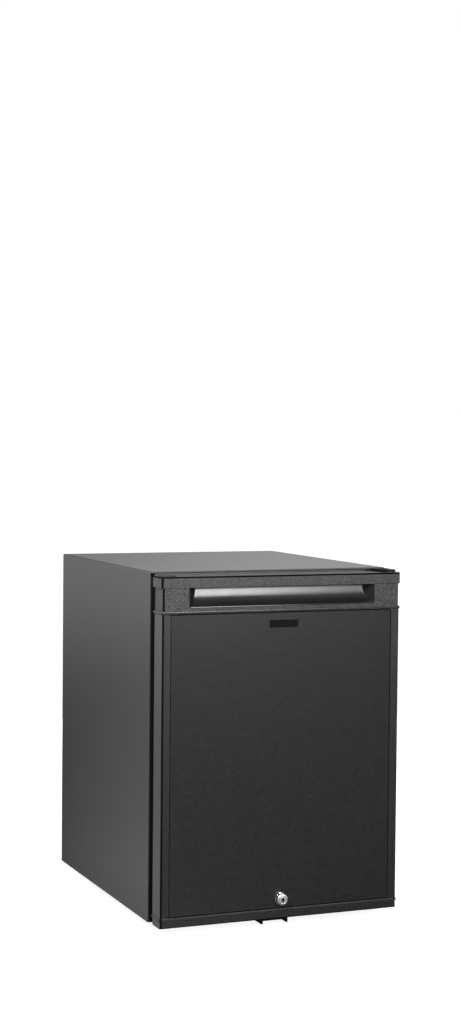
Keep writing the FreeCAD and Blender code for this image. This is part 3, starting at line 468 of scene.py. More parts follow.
def finishes() -> dict[str, Finish]:
    """Finishes of the record's material slots, and a few that only single pieces have.

    Returns:
        Finishes by name.
    """
    made = (
        PeelPaint("shell_paint", Tone.SHELL, 0.27, patchiness=0.015, gloss_drift=0.008,
                  grains_per_metre=1500.0, grain_height=2e-6),
        # moulding_grey and strip_grey have their sides brightened as painted light, and painted shade on
        # rounded edges, the cap's top band and the left rims.
        Moulding("moulding_grey", Tone.MOULDING, 0.38, grains_per_metre=620.0, grain_height=1.8e-5,
                 grain_contrast=1.2, side_painted_light=1.9),
        Moulding("strip_grey", Tone.STRIP, 0.34, grains_per_metre=480.0, grain_height=6e-5,
                 patchiness=0.02, gloss_drift=0.01, grain_contrast=0.9, side_painted_light=5.5,
                 rims=((0.0, 0.4962, -0.1965, 0.3),)),
        # frame_black is painted deep black on its sides and along its front rim, as the shade of the gap
        # behind the door.
        Moulding("frame_black", Tone.FRAME, 0.42, grain_contrast=0.12, side_shade=1.0, beads=(),
                 seams_and_shade_bands=(), rims=((0.0, 0.6, -0.1953, 0.1953),)),
        Finish("panel_satin", Tone.PANEL, 0.28, grains_per_metre=420.0, patchiness=0.012,
               gloss_drift=0.004, grain_height=5e-6, grain_contrast=0.9, grain_stretch=(0.4, 1.0, 1.2)),
        Finish("scoop_gloss", Tone.SCOOP, 0.235, ior=1.6, grain_height=6e-6),
        Finish("lip_gloss", Tone.SCOOP, 0.1, grain_height=6e-6),
        Finish("badge_black", Tone.BLACK, 0.08, grain_height=2e-6),
        # Painted shade: near-black matt finish for pieces in grooves, gaps and the keyway.
        Finish("painted_shade_black", Tone.PAINTED_SHADE, 0.9, ior=1.15),
        Finish("hinge_black", Tone.BLACK, 0.6, ior=1.18),
        PeelPaint("bracket_black", Tone.BLACK, 0.5, ior=1.3),
        PeelPaint("unit_black", Tone.UNIT, 0.38, patchiness=0.2),
        Finish("foot_black", Tone.BLACK, 0.55, grain_contrast=0.1),
        Finish("pan_black", Tone.BLACK, 0.45),
        Finish("box_plastic", Tone.RUBBER, grains_per_metre=1100.0, grain_height=5e-5,
               grain_contrast=0.15),
        Finish("foot_rubber", Tone.RUBBER, 0.75, grain_contrast=0.15),
        Finish("lead_rubber", Tone.RUBBER, 0.6),
        Finish("bush_plastic", Tone.RUBBER),
        Finish("gasket_grey", Tone.GASKET, 0.6, ior=1.4, patchiness=0.1),
        Finish("liner_white", Tone.WHITE, 0.32, patchiness=0.02, grain_height=6e-6, gloss_drift=0.02),
        # Painted shade: the door liner is the liner's white made darker against the light that falls on it.
        Finish("door_white_painted_shade", Tone.DOOR, 0.34, patchiness=0.02, grain_height=6e-6, gloss_drift=0.02),
        Finish("console_white", Tone.WHITE, 0.36, patchiness=0.02),
        Finish("knob_white", Tone.KNOB, 0.3, patchiness=0.02),
        Finish("shelf_coating", Tone.WHITE, 0.33, patchiness=0.04),
        Finish("tray_clear", Tone.CLEAR, 0.08, patchiness=0.0, transmission=0.85),
        Finish("rack_clear", Tone.CLEAR, 0.07, patchiness=0.0, transmission=0.85),
        Finish("lens_clear", Tone.CLEAR, 0.42, transmission=0.6),
        Finish("drain_grey", Tone.GREY),
        Finish("foam", Tone.FOAM, 0.9, grain_height=4e-4, grains_per_metre=500.0, grain_contrast=0.2),
        Finish("wool", Tone.WOOL, 1.0, grain_height=1e-3, grains_per_metre=300.0, grain_contrast=0.4),
        Spangle("zinc_sheet", Tone.ZINC, 0.34, metallic=1.0),
        Finish("steel", Tone.STEEL, 0.26, metallic=1.0, patchiness=0.1),
        Finish("fin_aluminium", Tone.ALUMINIUM, 0.3, metallic=1.0, grain_stretch=(1.0, 1.0, 0.04)),
        Finish("lock_satin", Tone.SATIN, 0.48, metallic=1.0, grain_height=6e-6, patchiness=0.03),
        Finish("lock_nickel", Tone.NICKEL, 0.14, metallic=1.0, grain_height=4e-6, patchiness=0.03),
    )
    return {finish.name: finish for finish in made}


class Wardrobe:
    """Gives nodes and new pieces the finish of their slot."""

    def __init__(self) -> None:
        """Make each finish, and set which nodes have their own finish or rounded edges."""
        for packed in list(bpy.data.materials):
            packed.name = f"packed_{packed.name}"
        self.materials = {name: finish.material() for name, finish in finishes().items()}
        self.slots = {row["node"]: row["material_slot"] for row in frame["record"]["subparts"]}
        strips = ("door_profile_left", "door_profile_right", "door_bottom_cap")
        self.own = {"door_liner": "door_white_painted_shade", **dict.fromkeys(strips, "strip_grey")}
        radii = {
            1.2: "door_liner door_switch", 0.8: "front_frame", 0.3: "hinge_bushes",
            0.5: "drip_tray lower_rack upper_rack hinge_bracket_top hinge_bracket_bottom hinge_pins "
                 "drain_pan",
            0.4: "lock_strike lamp_housing control_box unit_straps evaporator_fins door_hole_plug lock_cam "
                 "lock_nut"}
        self.rounded = {name: radius for radius, names in radii.items() for name in names.split()}

    def dress(self, piece: bpy.types.Object, slot: str) -> None:
        """Put one finish on a whole piece."""
        piece.data.materials.clear()
        piece.data.materials.append(self.materials[slot])

    def soften(self, piece: bpy.types.Object, width: float) -> None:
        """Round the sharp edges of a piece with modifiers.

        Args:
            piece: The mesh object.
            width: Radius of the rounding in millimetres.
        """
        flat = piece.modifiers.new("flat_faces", "DECIMATE")
        flat.decimate_type = "DISSOLVE"
        flat.angle_limit = math.radians(0.6)
        edge = piece.modifiers.new("edges", "BEVEL")
        edge.width = width * MM
        edge.segments = 3
        edge.limit_method = "ANGLE"
        edge.angle_limit = math.radians(38.0)
        edge.use_clamp_overlap = True
        edge.harden_normals = True

    def dress_nodes(self) -> None:
        """Put each node's finish on it."""
        for name, node in frame["nodes"].items():
            slot = self.own.get(name, self.slots[name])
            self.dress(node, slot)
            if name in self.rounded:
                self.soften(node, self.rounded[name])
            LOG.info("node %s has finish %s", name, slot)


# Piece making


class Plane(Enum):
    """Plane that a hoop lies in, by the places of its two axes and of its level."""

    FRONT = (0, 2, 1)
    FLOOR = (0, 1, 2)
    SIDE = (1, 2, 0)


def grown(half: Flat, out: float) -> Flat:
    """Half a width and a height, drawn out alike on every side."""
    return half[0] + out, half[1] + out


def thread(radius: float, depth: float, low: float, pitch: float, count: int) -> Outline:
    """Outline of a screw thread, by turns a crest and a root."""
    return tuple((radius - depth * (i % 2), low + i * pitch / 2) for i in range(count))


def hoop(plane: Plane, centre: Flat, half: Flat, radius: float, level: float, steps: int) -> list[Vector]:
    """Rounded rectangle of points.

    Args:
        plane: Plane that it lies in.
        centre: Its middle in that plane.
        half: Half its width and height.
        radius: Radius of its corners.
        level: Place along the plane's normal.
        steps: Pieces of each corner.

    Returns:
        The points, in millimetres.
    """
    first, second, normal = plane.value
    quarter = math.pi / 2
    points = []
    for corner, signs in enumerate(((1, 1), (-1, 1), (-1, -1), (1, -1))):
        for step in range(steps + 1):
            angle = corner * quarter + step / steps * quarter
            place = Vector((0, 0, 0))
            place[first] = centre[0] + signs[0] * (half[0] - radius) + radius * math.cos(angle)
            place[second] = centre[1] + signs[1] * (half[1] - radius) + radius * math.sin(angle)
            place[normal] = level
            points.append(place)
    return points


def circle(centre: Vector, along: Vector, radius: float, sides: int,
           side: Optional[Vector] = None) -> list[Vector]:
    """Circle of points across a direction.

    Args:
        centre: Its middle.
        along: Direction that it faces.
        radius: Its radius.
        sides: Number of points.
        side: Direction of its first point; any across the other one when left out.

    Returns:
        The points, in millimetres.
    """
    way = along.normalized()
    side = side or way.orthogonal().normalized()
    other = way.cross(side)
    angles = [2 * math.pi * i / sides for i in range(sides)]
    return [centre + side * (radius * math.cos(a)) + other * (radius * math.sin(a)) for a in angles]


class Mould:
    """Gathers faces in millimetres and turns them into one piece of the model."""

    def __init__(self, wardrobe: Wardrobe, name: str) -> None:
        """Start an empty piece.

        Args:
            wardrobe: Where its finish comes from.
            name: Its name.
        """
        self.wardrobe = wardrobe
        self.name = name
        self.mesh = bmesh.new()

    def loft(self, rings: Sequence[Sequence[Vector]], looped: bool = False) -> None:
        """Join rings of equally many points into a skin, closed at both ends.

        Args:
            rings: The rings in order.
            looped: Whether the last ring joins the first instead.
        """
        rows = [[self.mesh.verts.new(point) for point in ring] for ring in rings]
        pairs = list(zip(rows, rows[1:]))
        if looped:
            pairs.append((rows[-1], rows[0]))
        count = len(rows[0])
        for low, high in pairs:
            for i in range(count):
                j = (i + 1) % count
                self.mesh.faces.new((low[i], low[j], high[j], high[i]))
        if not looped:
            self.mesh.faces.new(list(reversed(rows[0])))
            self.mesh.faces.new(rows[-1])

    def turned(self, outline: Sequence[Flat], origin: Point, along: Point, sides: int,
               looped: bool = False, ridges: float = 0.0) -> None:
        """Turn an outline round an axis.

        Args:
            outline: Radius and distance along the axis of each point.
            origin: Where the axis starts.
            along: Its direction.
            sides: Number of steps round it.
            looped: Whether the outline is closed, as for a ring.
            ridges: Depth of the grooves between gripping ridges.
        """
        way = Vector(along).normalized()
        rings = []
        for radius, height in outline:
            middle = Vector(origin) + way * height
            ring = circle(middle, way, radius, sides)
            if ridges and radius > 0:
                ring = [middle + (place - middle) * (1 - (i % 4 > 1) * ridges / radius)
                        for i, place in enumerate(ring)]
            rings.append(ring)
        self.loft(rings, looped)

    def piped(self, route: Sequence[Point], radius: float, sides: int, looped: bool = False) -> None:
        """Lay a round wire along a route.

        Args:
            route: Points of its middle line.
            radius: Its radius.
            sides: Number of steps round it.
            looped: Whether its ends meet.
        """
        points = [Vector(place) for place in route]
        side = None
        rings = []
        for i, place in enumerate(points):
            before = points[i - 1] if i or looped else place
            after = points[(i + 1) % len(points)] if i + 1 < len(points) or looped else place
            way = (after - before).normalized()
            side = side or way.orthogonal().normalized()
            side = (side - way * side.dot(way)).normalized()
            rings.append(circle(place, way, radius, sides, side))
        self.loft(rings, looped)

    def block(self, low: Point, high: Point, edge: float = 0.0) -> None:
        """Add a block with rounded edges.

        Args:
            low: Its lowest corner.
            high: Its highest corner.
            edge: Radius of its edges.
        """
        made = bmesh.ops.create_cube(self.mesh, size=1)["verts"]
        middle = (Vector(low) + Vector(high)) / 2
        size = Vector(high) - Vector(low)
        for vertex in made:
            vertex.co = vertex.co * size + middle
        if edge:
            edges = list(dict.fromkeys(line for vertex in made for line in vertex.link_edges))
            bmesh.ops.bevel(self.mesh, geom=edges, offset=edge, segments=2, profile=0.5, affect="EDGES")

    def slab(self, outline: Sequence[Vector], thickness: Point) -> None:
        """Add a slab from an outline and its thickness."""
        self.loft([outline, [place + Vector(thickness) for place in outline]])

    def copy_of(self, other: "Mould", where: Matrix) -> None:
        """Add a copy of another piece's faces.

        Args:
            other: The other piece.
            where: Matrix that places the copy.
        """
        draft = bpy.data.meshes.new("draft")
        other.mesh.to_mesh(draft)
        draft.transform(where)
        self.mesh.from_mesh(draft)
        bpy.data.meshes.remove(draft)

    def carve(self, cutter: "Mould") -> None:
        """Cut another piece's shape out of this one.

        Args:
            cutter: The other piece.
        """
        blank, tool = self._object("draft"), cutter._object("draft")
        cut = blank.modifiers.new("cut", "BOOLEAN")
        cut.operation, cut.solver, cut.object = "DIFFERENCE", "EXACT", tool
        cut.use_self = True
        shape = blank.evaluated_get(bpy.context.evaluated_depsgraph_get())
        self.mesh = bmesh.new()
        self.mesh.from_mesh(shape.to_mesh())
        shape.to_mesh_clear()
        for loose in (blank, tool):
            mesh = loose.data
            bpy.data.objects.remove(loose)
            bpy.data.meshes.remove(mesh)

    def _object(self, name: str, scale: float = 1.0) -> bpy.types.Object:
        """Make an object of the present faces.

        Args:
            name: Its name.
            scale: Its size against the faces.

        Returns:
            The object.
        """
        bmesh.ops.remove_doubles(self.mesh, verts=self.mesh.verts, dist=0.0005)
        bmesh.ops.recalc_face_normals(self.mesh, faces=self.mesh.faces)
        bmesh.ops.scale(self.mesh, vec=(scale, scale, scale), verts=self.mesh.verts)
        mesh = bpy.data.meshes.new(name)
        self.mesh.to_mesh(mesh)
        made = bpy.data.objects.new(name, mesh)
        bpy.context.scene.collection.objects.link(made)
        return made

    def _settle(self, mesh: bpy.types.Mesh) -> None:
        """Put the faces in the order of their corners, so that every run gives the same mesh.

        Args:
            mesh: Mesh that takes the ordered faces.
        """
        self.mesh.verts.index_update()
        faces = sorted(self.mesh.faces, key=lambda face: sorted(corner.index for corner in face.verts))
        ranks = {face: rank for rank, face in enumerate(faces)}
        self.mesh.faces.sort(key=lambda face: ranks[face])
        self.mesh.to_mesh(mesh)

    def finish(self, body: str, slot: str, stands_for: Iterable[str] = (), finish: str = "",
               edge: float = 0.0, crease: float = 32.0) -> None:
        """Make the object, dress it and let it ride on a body.

        Args:
            body: Body that it moves with.
            slot: The record's material slot.
            stands_for: Nodes that it replaces.
            finish: Finish that it gets, where that isn't the slot's own.
            edge: Radius of the rounding on its sharp edges, in millimetres.
            crease: Angle in degrees from which an edge stays sharp.
        """
        piece = self._object(self.name, MM)
        mesh = piece.data
        if not edge:
            self._settle(mesh)
        self.mesh.free()
        mesh.shade_smooth()
        mesh.set_sharp_from_angle(angle=math.radians(crease))
        self.wardrobe.dress(piece, finish or slot)
        if edge:
            self.wardrobe.soften(piece, edge)
        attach(piece, body)
        nodes = tuple(stands_for)
        if nodes:
            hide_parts(*nodes)
        LOG.info("piece %s rides on %s, slot %s, faces %d", self.name, body, slot, len(mesh.polygons))


@dataclass
class Part:
    """A sub-assembly that takes its finishes from one wardrobe."""

    wardrobe: Wardrobe

    def mould(self, name: str) -> Mould:
        """Start an empty piece."""
        return Mould(self.wardrobe, name)


# The door's outside


@dataclass
class FrontPanel(Part):
    """Dark bead that seals the front panel in its frame, finished near black as the groove's painted shade.
    """

    middle: Flat = (0, 260.5)
    half: Flat = (185.2, 230.2)
    corner: float = 0.75
    section: Outline = (
        (-0.65, -246.7), (-0.5, -247), (0, -247.2), (0.45, -247.15), (0.8, -246.9), (0.8, -246),
        (-0.65, -246))

    def build(self) -> None:
        """Make the bead."""
        bead = self.mould("panel_bead")
        bead.loft([hoop(Plane.FRONT, self.middle, grown(self.half, out), self.corner + out, y, 2)
                   for out, y in self.section], looped=True)
        # The bead is finished near black as painted shade of the groove.
        bead.finish("door", "foot_rubber", finish="painted_shade_black", crease=50)


@dataclass
class TopHinge(Part):
    """Top hinge plate: a tapered arm over the door and a leg behind it."""

    outline: Outline = (
        (171, -202), (173, -214), (177.5, -230), (181.5, -238.5), (186, -242.6), (191, -243.8), (195.5, -242),
        (197, -238.5), (197, -202))
    level: float = 550.3
    thickness: float = 2.5
    leg: Box = ((162.2, -204.5, 536.3), (196, -202, 550.8))

    def build(self) -> None:
        """Make the plate with its leg."""
        plate = self.mould("top_hinge_plate")
        plate.slab([Vector((x, y, self.level)) for x, y in self.outline], (0, 0, self.thickness))
        plate.block(*self.leg, 0.4)
        plate.finish("cabinet", "bracket_black", ["hinge_bracket_top"], finish="hinge_black", edge=0.5)


@dataclass
class HandleTrim(Part):
    """Polished lip below the grip recess, and dark strips in the grooves behind the door's front, as painted
    shade of the gap.
    """

    lip_half: float = 153.5
    lip_centre: Flat = (-246.2, 501.5)
    lip_radius: float = 1.7
    filler: Box = ((192, -214.3, 491), (198.3, -213.2, 532))
    shade_strip: Box = ((192.02, -214, 28), (192.8, -211.9, 490.8))
    lock_side_low: float = 28.0
    hinge_side_low: float = 62.0

    def build(self) -> None:
        """Make the lip, and a filler and a shade strip on either side, both near black as painted shade."""
        lip = self.mould("recess_lip")
        y, z = self.lip_centre
        angles = [math.radians(a) for a in range(-20, 121, 10)]
        radius = self.lip_radius
        curve = [(y - radius * math.cos(a), z + radius * math.sin(a)) for a in angles]
        lip.slab([Vector((-self.lip_half, *place)) for place in curve], (2 * self.lip_half, 0, 0))
        lip.finish("door", "scoop_gloss", finish="lip_gloss")
        fillers, shade_strip = self.mould("edge_fillers"), self.mould("liner_shade_strip")
        for side, edging_low in ((-1, self.lock_side_low), (1, self.hinge_side_low)):
            for strip, box, low, edge in ((fillers, self.filler, self.filler[0][2], 0.2),
                                          (shade_strip, self.shade_strip, edging_low, 0.15)):
                left, right = sorted((side * box[0][0], side * box[1][0]))
                strip.block((left, box[0][1], low), (right, *box[1][1:]), edge)
        # Fillers and strips are near black: painted shade of the gap between door and cabinet.
        fillers.finish("door", "moulding_grey", finish="painted_shade_black")
        shade_strip.finish("door", "foot_rubber", finish="painted_shade_black")


@dataclass
class DoorLock(Part):
    """Cylinder lock: flanged barrel, domed face ring and a core with a keyway."""

    centre: Flat = (0, 44.6)
    panel_y: float = -246.8
    barrel: Outline = (
        (5.6, 0), (9.2, 0), (9.25, 0.5), (9.1, 1), (8.7, 1.2), (8.6, 1.6), (8.75, 1.9), (8.8, 7.4),
        (8.6, 7.9), (8.3, 8.1), (5.6, 8.1))
    rear: Outline = ((5.6, -16.5), *thread(8, 0.45, -16.5, 1, 31), (8, 0.2), (5.6, 0.2))
    ring: Outline = (
        (5.62, 7.6), (8.35, 7.6), (8.7, 8), (8.75, 8.5), (8.4, 9.2), (7.7, 9.7), (6.9, 10), (6.1, 10.1),
        (5.75, 9.95), (5.62, 9.6))
    core: Outline = (
        (0, -16.6), (3, -16.6), (5.5, -16.4), (5.5, 9.3), (5.3, 9.7), (4.2, 9.95), (2.2, 10.1), (0, 10.15))
    wards: Places = ((1.35, -3.7, 4), (3, -0.6, 1.7), (2.2, -2.7, -1.6))
    tail: Box = ((-2.95, -231, 41.65), (2.95, -226.6, 47.55))

    def build(self) -> None:
        """Make the barrel, the face ring, the core and the wafers in its keyway, near black as the keyway's
        painted shade.
        """
        origin = (self.centre[0], self.panel_y, self.centre[1])
        barrel, ring, core = (self.mould(f"lock_{name}") for name in ("barrel", "face_ring", "core"))
        barrel.turned(self.barrel, origin, FORWARD, 64, looped=True)
        barrel.turned(self.rear, origin, FORWARD, 48, looped=True)
        barrel.finish("door", "lock_nickel", ["lock_body"])
        ring.turned(self.ring, origin, FORWARD, 64, looped=True)
        ring.finish("door", "lock_nickel", finish="lock_satin")
        core.turned(self.core, origin, FORWARD, 48)
        core.carve(self._keyway("keyway", -12, 2, 0))
        core.block(*self.tail, 0.3)
        core.finish("lock_plug", "lock_nickel", ["lock_plug"], finish="lock_satin", crease=28)
        # The wafers fill the keyway near black, as its painted shade.
        self._keyway("lock_wafers_painted_shade", -8.9, 1.8, 0.05).finish("lock_plug", "steel", finish="painted_shade_black")

    def _keyway(self, name: str, front: float, back: float, slack: float) -> Mould:
        """Make a solid in the shape of the keyway with its side wards.

        Args:
            name: Its name.
            front: Its front level, from the panel.
            back: Its rear level, from the panel.
            slack: How much it's drawn in on every side.

        Returns:
            The solid.
        """
        x, z = self.centre
        front, back = self.panel_y + front, self.panel_y + back
        solid = self.mould(name)
        for half, low, high in self.wards:
            solid.block((x - half + slack, front, z + low + slack),
                        (x + half - slack, back, z + high - slack))
        return solid


# Fasteners


@dataclass
class Screw(Part):
    """Pan-head screw with a cross recess."""

    outline: Outline = (
        (0, -9), (1.3, -9), (2, -7), (2, 0), (4, 0), (4, 0.5), (3.75, 1.1), (3.1, 1.6), (2, 1.9), (0, 2))
    cross: tuple[Box, Box] = (((-2.3, -0.5, 0.7), (2.3, 0.5, 3)), ((-0.5, -2.3, 0.7), (0.5, 2.3, 3)))

    def drive(self, target: Mould, places: Iterable[Point], along: Point, scale: float = 1.0) -> None:
        """Add a screw at each place, each with its cross turned another way.

        Args:
            target: Piece that takes the screws.
            places: Where their heads sit.
            along: Direction that the heads face.
            scale: Their size.
        """
        screw, cross = self.mould("screw"), self.mould("cross")
        screw.turned(self.outline, (0, 0, 0), UP, 28)
        for bar in self.cross:
            cross.block(*bar)
        screw.carve(cross)
        turn = Vector(UP).rotation_difference(Vector(along)).to_matrix().to_4x4()
        for place in places:
            spin = Matrix.Rotation(place[0] * 0.37 + place[2] * 0.11, 4, "Z")
            target.copy_of(screw, Matrix.Translation(place) @ turn @ spin @ Matrix.Scale(scale, 4))


@dataclass
class Fasteners(Part):
    """Screws of the brackets, the strike and the straps, and the blanking plugs."""

    bracket_x: Flat = (170, 184)
    bracket_z: Flat = (543.3, 25)
    screw_y: float = -204.5
    plug_y: float = -202.0
    strike_places: Places = ((-19, -180, 9), (7.5, -180, 9))
    strap_places: Places = ((-173, 184, 132), (173, 184, 132), (-173, 184, 362), (173, 184, 362))
    plug: Outline = ((3.9, 0), (4, 0.5), (3.7, 0.95), (2.9, 1.2), (2.2, 1.1), (1.9, 0.8), (0, 0.75))

    def build(self) -> None:
        """Make the screws of the cabinet and of the unit, and the plugs."""
        screw = Screw(self.wardrobe)
        corners = [(x, z) for z in self.bracket_z for x in self.bracket_x]
        front, rear = self.mould("bracket_and_strike_screws"), self.mould("strap_screws")
        screw.drive(front, [(x, self.screw_y, z) for x, z in corners], FORWARD)
        screw.drive(front, self.strike_places, DOWN)
        front.finish("cabinet", "steel", ["cabinet_screws"])
        screw.drive(rear, self.strap_places, BACKWARD)
        rear.finish("cabinet", "steel", ["unit_screws"])
        plugs = self.mould("frame_hole_plugs")
        for x, z in corners:
            plugs.turned(self.plug, (-x, self.plug_y, z), FORWARD, 28)
        plugs.finish("cabinet", "frame_black", ["hinge_hole_plugs"])


@dataclass
class Feet(Part):
    """Levelling feet with gripping rims and threaded studs, and the rubber feet behind."""

    spread: float = 150.0
    front_y: float = -150.0
    rear_y: float = 146.0
    pad: Outline = (
        (0, 0), (13.6, 0), (14.4, 0.4), (15, 1.4), (15, 7.8), (14.6, 9.2), (13.8, 10), (7, 10), (6.6, 9.4),
        (0, 9.4))
    nut: Outline = ((0, 9), (7.9, 9), (8, 9.3), (8, 11.3), (7.7, 11.6), (0, 11.6))
    stud: Outline = ((0, 11), (4, 11), *thread(4, 0.6, 12, 1.25, 44), (3.2, 39.6), (2.8, 40), (0, 40))
    rubber: Outline = (
        (0, 6), (4, 6), (4, 0.6), (5, 0), (13.8, 0), (14.7, 0.5), (15, 1.6), (14.2, 4), (13.9, 7), (14.2, 10),
        (14.8, 12), (0, 12))

    def build(self) -> None:
        """Make the four feet."""
        rear = self.mould("rubber_feet")
        for side, name in ((-1, "left"), (1, "right")):
            origin = (side * self.spread, self.front_y, 0)
            foot = self.mould(f"levelling_foot_{name}")
            foot.turned(self.pad, origin, UP, 72, ridges=0.5)
            foot.turned(self.nut, origin, UP, 6)
            foot.turned(self.stud, origin, UP, 24)
            foot.finish(f"front_foot_{name}", "foot_black", [f"front_foot_{name}"], edge=0.3)
            rear.turned(self.rubber, (side * self.spread, self.rear_y, 0), UP, 40)
        rear.finish("cabinet", "foot_rubber", ["rear_feet"])


# Inside of the door and of the compartment


@dataclass
class DoorSeal(Part):
    """Soft magnetic seal with folded sides and mitred corners."""

    middle: Flat = (0, 282.5)
    half: Flat = (177, 240.75)
    corner: float = 0.4
    section: Outline = (
        (-9, -212), (9, -212), (9, -211.3), (6.6, -210.9), (5.9, -210), (7.9, -208.7), (8.3, -208),
        (7.9, -207.3), (6, -206.4), (5.9, -205.9), (7.2, -205.3), (7.5, -204), (7.2, -203), (6.2, -202.4),
        (-6.2, -202.3), (-7.2, -202.9), (-7.6, -204), (-7.2, -205.3), (-5.9, -205.9), (-6, -206.4),
        (-8, -207.4), (-8.4, -208.1), (-8, -208.8), (-5.9, -210), (-6.6, -210.9), (-9, -211.4))

    def build(self) -> None:
        """Make the seal as one ring."""
        seal = self.mould("bellows_seal")
        seal.loft([hoop(Plane.FRONT, self.middle, grown(self.half, out), self.corner, y, 1)
                   for out, y in self.section], looped=True)
        seal.finish("door", "gasket_grey", ["door_gasket"], crease=62)


@dataclass
class RackTrim(Part):
    """Rolled rims and stiffening ribs of the two door racks."""

    middle: Flat = (0, -174)
    half: Flat = (137, 37)
    corner: float = 9.0
    roll_centre: Flat = (-1.1, -0.6)
    roll_radii: Flat = (1.7, 1.5)
    rib_y: Flat = (-137.3, -136.3)
    rib_half: float = 0.9
    rib_margin: float = 5.0
    levels: tuple[tuple[str, float, float], ...] = (("lower_rack", 78, 148), ("upper_rack", 300, 346))

    def build(self) -> None:
        """Make the trim of both racks."""
        for body, low, high in self.levels:
            rim = self.mould(f"{body}_rim")
            rings = []
            for angle in [2 * math.pi * i / 10 for i in range(10)]:
                out = self.roll_centre[0] + self.roll_radii[0] * math.cos(angle)
                level = high + self.roll_centre[1] + self.roll_radii[1] * math.sin(angle)
                half, corner = grown(self.half, out), self.corner + out
                rings.append(hoop(Plane.FLOOR, self.middle, half, corner, level, 5))
            rim.loft(rings, looped=True)
            for x in range(-120, 121, 20):
                rim.block((x - self.rib_half, self.rib_y[0], low + self.rib_margin),
                          (x + self.rib_half, self.rib_y[1], high - self.rib_margin), 0.4)
            rim.finish(body, "rack_clear")


@dataclass
class Console(Part):
    """Ribbed lamp lens, ridged thermostat dial, its marks, and louvres."""

    lens: Box = ((-58, -98, 486.9), (20, -48, 490))
    lens_rib: Outline = ((0, 487.2), (3, 487.2), (1.5, 485.3))
    lens_rib_y: Flat = (-97, 48)
    dial_centre: Point = (44, -112, 499.5)
    dial: Outline = (
        (0, 8.3), (3.1, 8.3), (3.1, 0.3), (10.1, 0.3), (10.5, 0.8), (10.5, 8.4), (10.1, 9.5), (9.2, 10.1),
        (8, 10.3), (0, 10.3))
    grip: Box = ((-1.4, -12, -7.8), (1.4, -9.8, 8.4))
    mark_degrees: tuple[int, ...] = (-36, -18, 0, 18, 36, 144, 162, 180, 198, 216)
    mark_radii: Flat = (12.2, 14.6)
    mark_half: float = 0.35
    louvre: Box = ((-62, -112.7, 494), (-59, -111.5, 506))

    def build(self) -> None:
        """Make the lens, the dial and the moulded details."""
        lens, dial, marks, louvres = (self.mould(name) for name in (
            "ribbed_lens", "thermostat_dial", "dial_marks", "console_louvres"))
        lens.block(*self.lens, 0.6)
        front, length = self.lens_rib_y
        for start in [-56.5 + 3.0 * i for i in range(25)]:
            lens.slab([Vector((start + x, front, z)) for x, z in self.lens_rib], (0, length, 0))
        lens.finish("cabinet", "lens_clear", ["lamp_lens"], crease=20)
        middle = Vector(self.dial_centre)
        dial.turned(self.dial, self.dial_centre, FORWARD, 64, ridges=0.35)
        dial.block(*(middle + Vector(corner) for corner in self.grip), 0.6)
        dial.finish("thermostat_knob", "knob_white", ["thermostat_knob"])
        for angle in map(math.radians, self.mark_degrees):
            reach = Vector((math.cos(angle), 0, math.sin(angle)))
            across = Vector((-math.sin(angle), 0, math.cos(angle))) * self.mark_half
            inner, outer = (middle + reach * radius for radius in self.mark_radii)
            marks.slab([inner - across, outer - across, outer + across, inner + across], (0, -0.15, 0))
        marks.finish("cabinet", "drain_grey")
        for shift in [Vector((6.0 * i, 0, 0)) for i in range(12)]:
            louvres.block(*(Vector(corner) + shift for corner in self.louvre), 0.5)
        louvres.finish("cabinet", "console_white")


@dataclass
class Sensor(Part):
    """Thermostat capillary that runs along the ceiling to its bulb on the fins."""

    route_x: float = 30.0
    route: Outline = (
        (-36, 508), (-20, 510.8), (88, 510.8), (100, 509), (108, 503), (113.5, 494), (116.5, 484),
        (117.2, 472), (117.2, 462))
    bulb: Outline = ((0, 0), (0.9, 0), (2.4, 2), (2.4, 54), (1.6, 57), (0, 57))
    bulb_place: Point = (30, 117.2, 464)
    ceiling_clips: tuple[Box, Box] = (((25, -4, 508.6), (35, 2, 512.2)), ((25, 74, 508.6), (35, 80, 512.2)))
    fin_clips: tuple[Box, Box] = (
        ((24.5, 114.2, 418), (35.5, 121, 423)), ((24.5, 114.2, 446), (35.5, 121, 451)))

    def build(self) -> None:
        """Make the tube, its bulb and its clips."""
        tube, clips = self.mould("sensor_capillary"), self.mould("sensor_clips")
        tube.piped([(self.route_x, y, z) for y, z in self.route], 0.9, 12)
        tube.turned(self.bulb, self.bulb_place, DOWN, 20)
        tube.finish("cabinet", "steel")
        for boxes, edge in ((self.ceiling_clips, 0.8), (self.fin_clips, 0.9)):
            for box in boxes:
                clips.block(*box, edge)
        clips.finish("cabinet", "console_white")


# Behind the cabinet


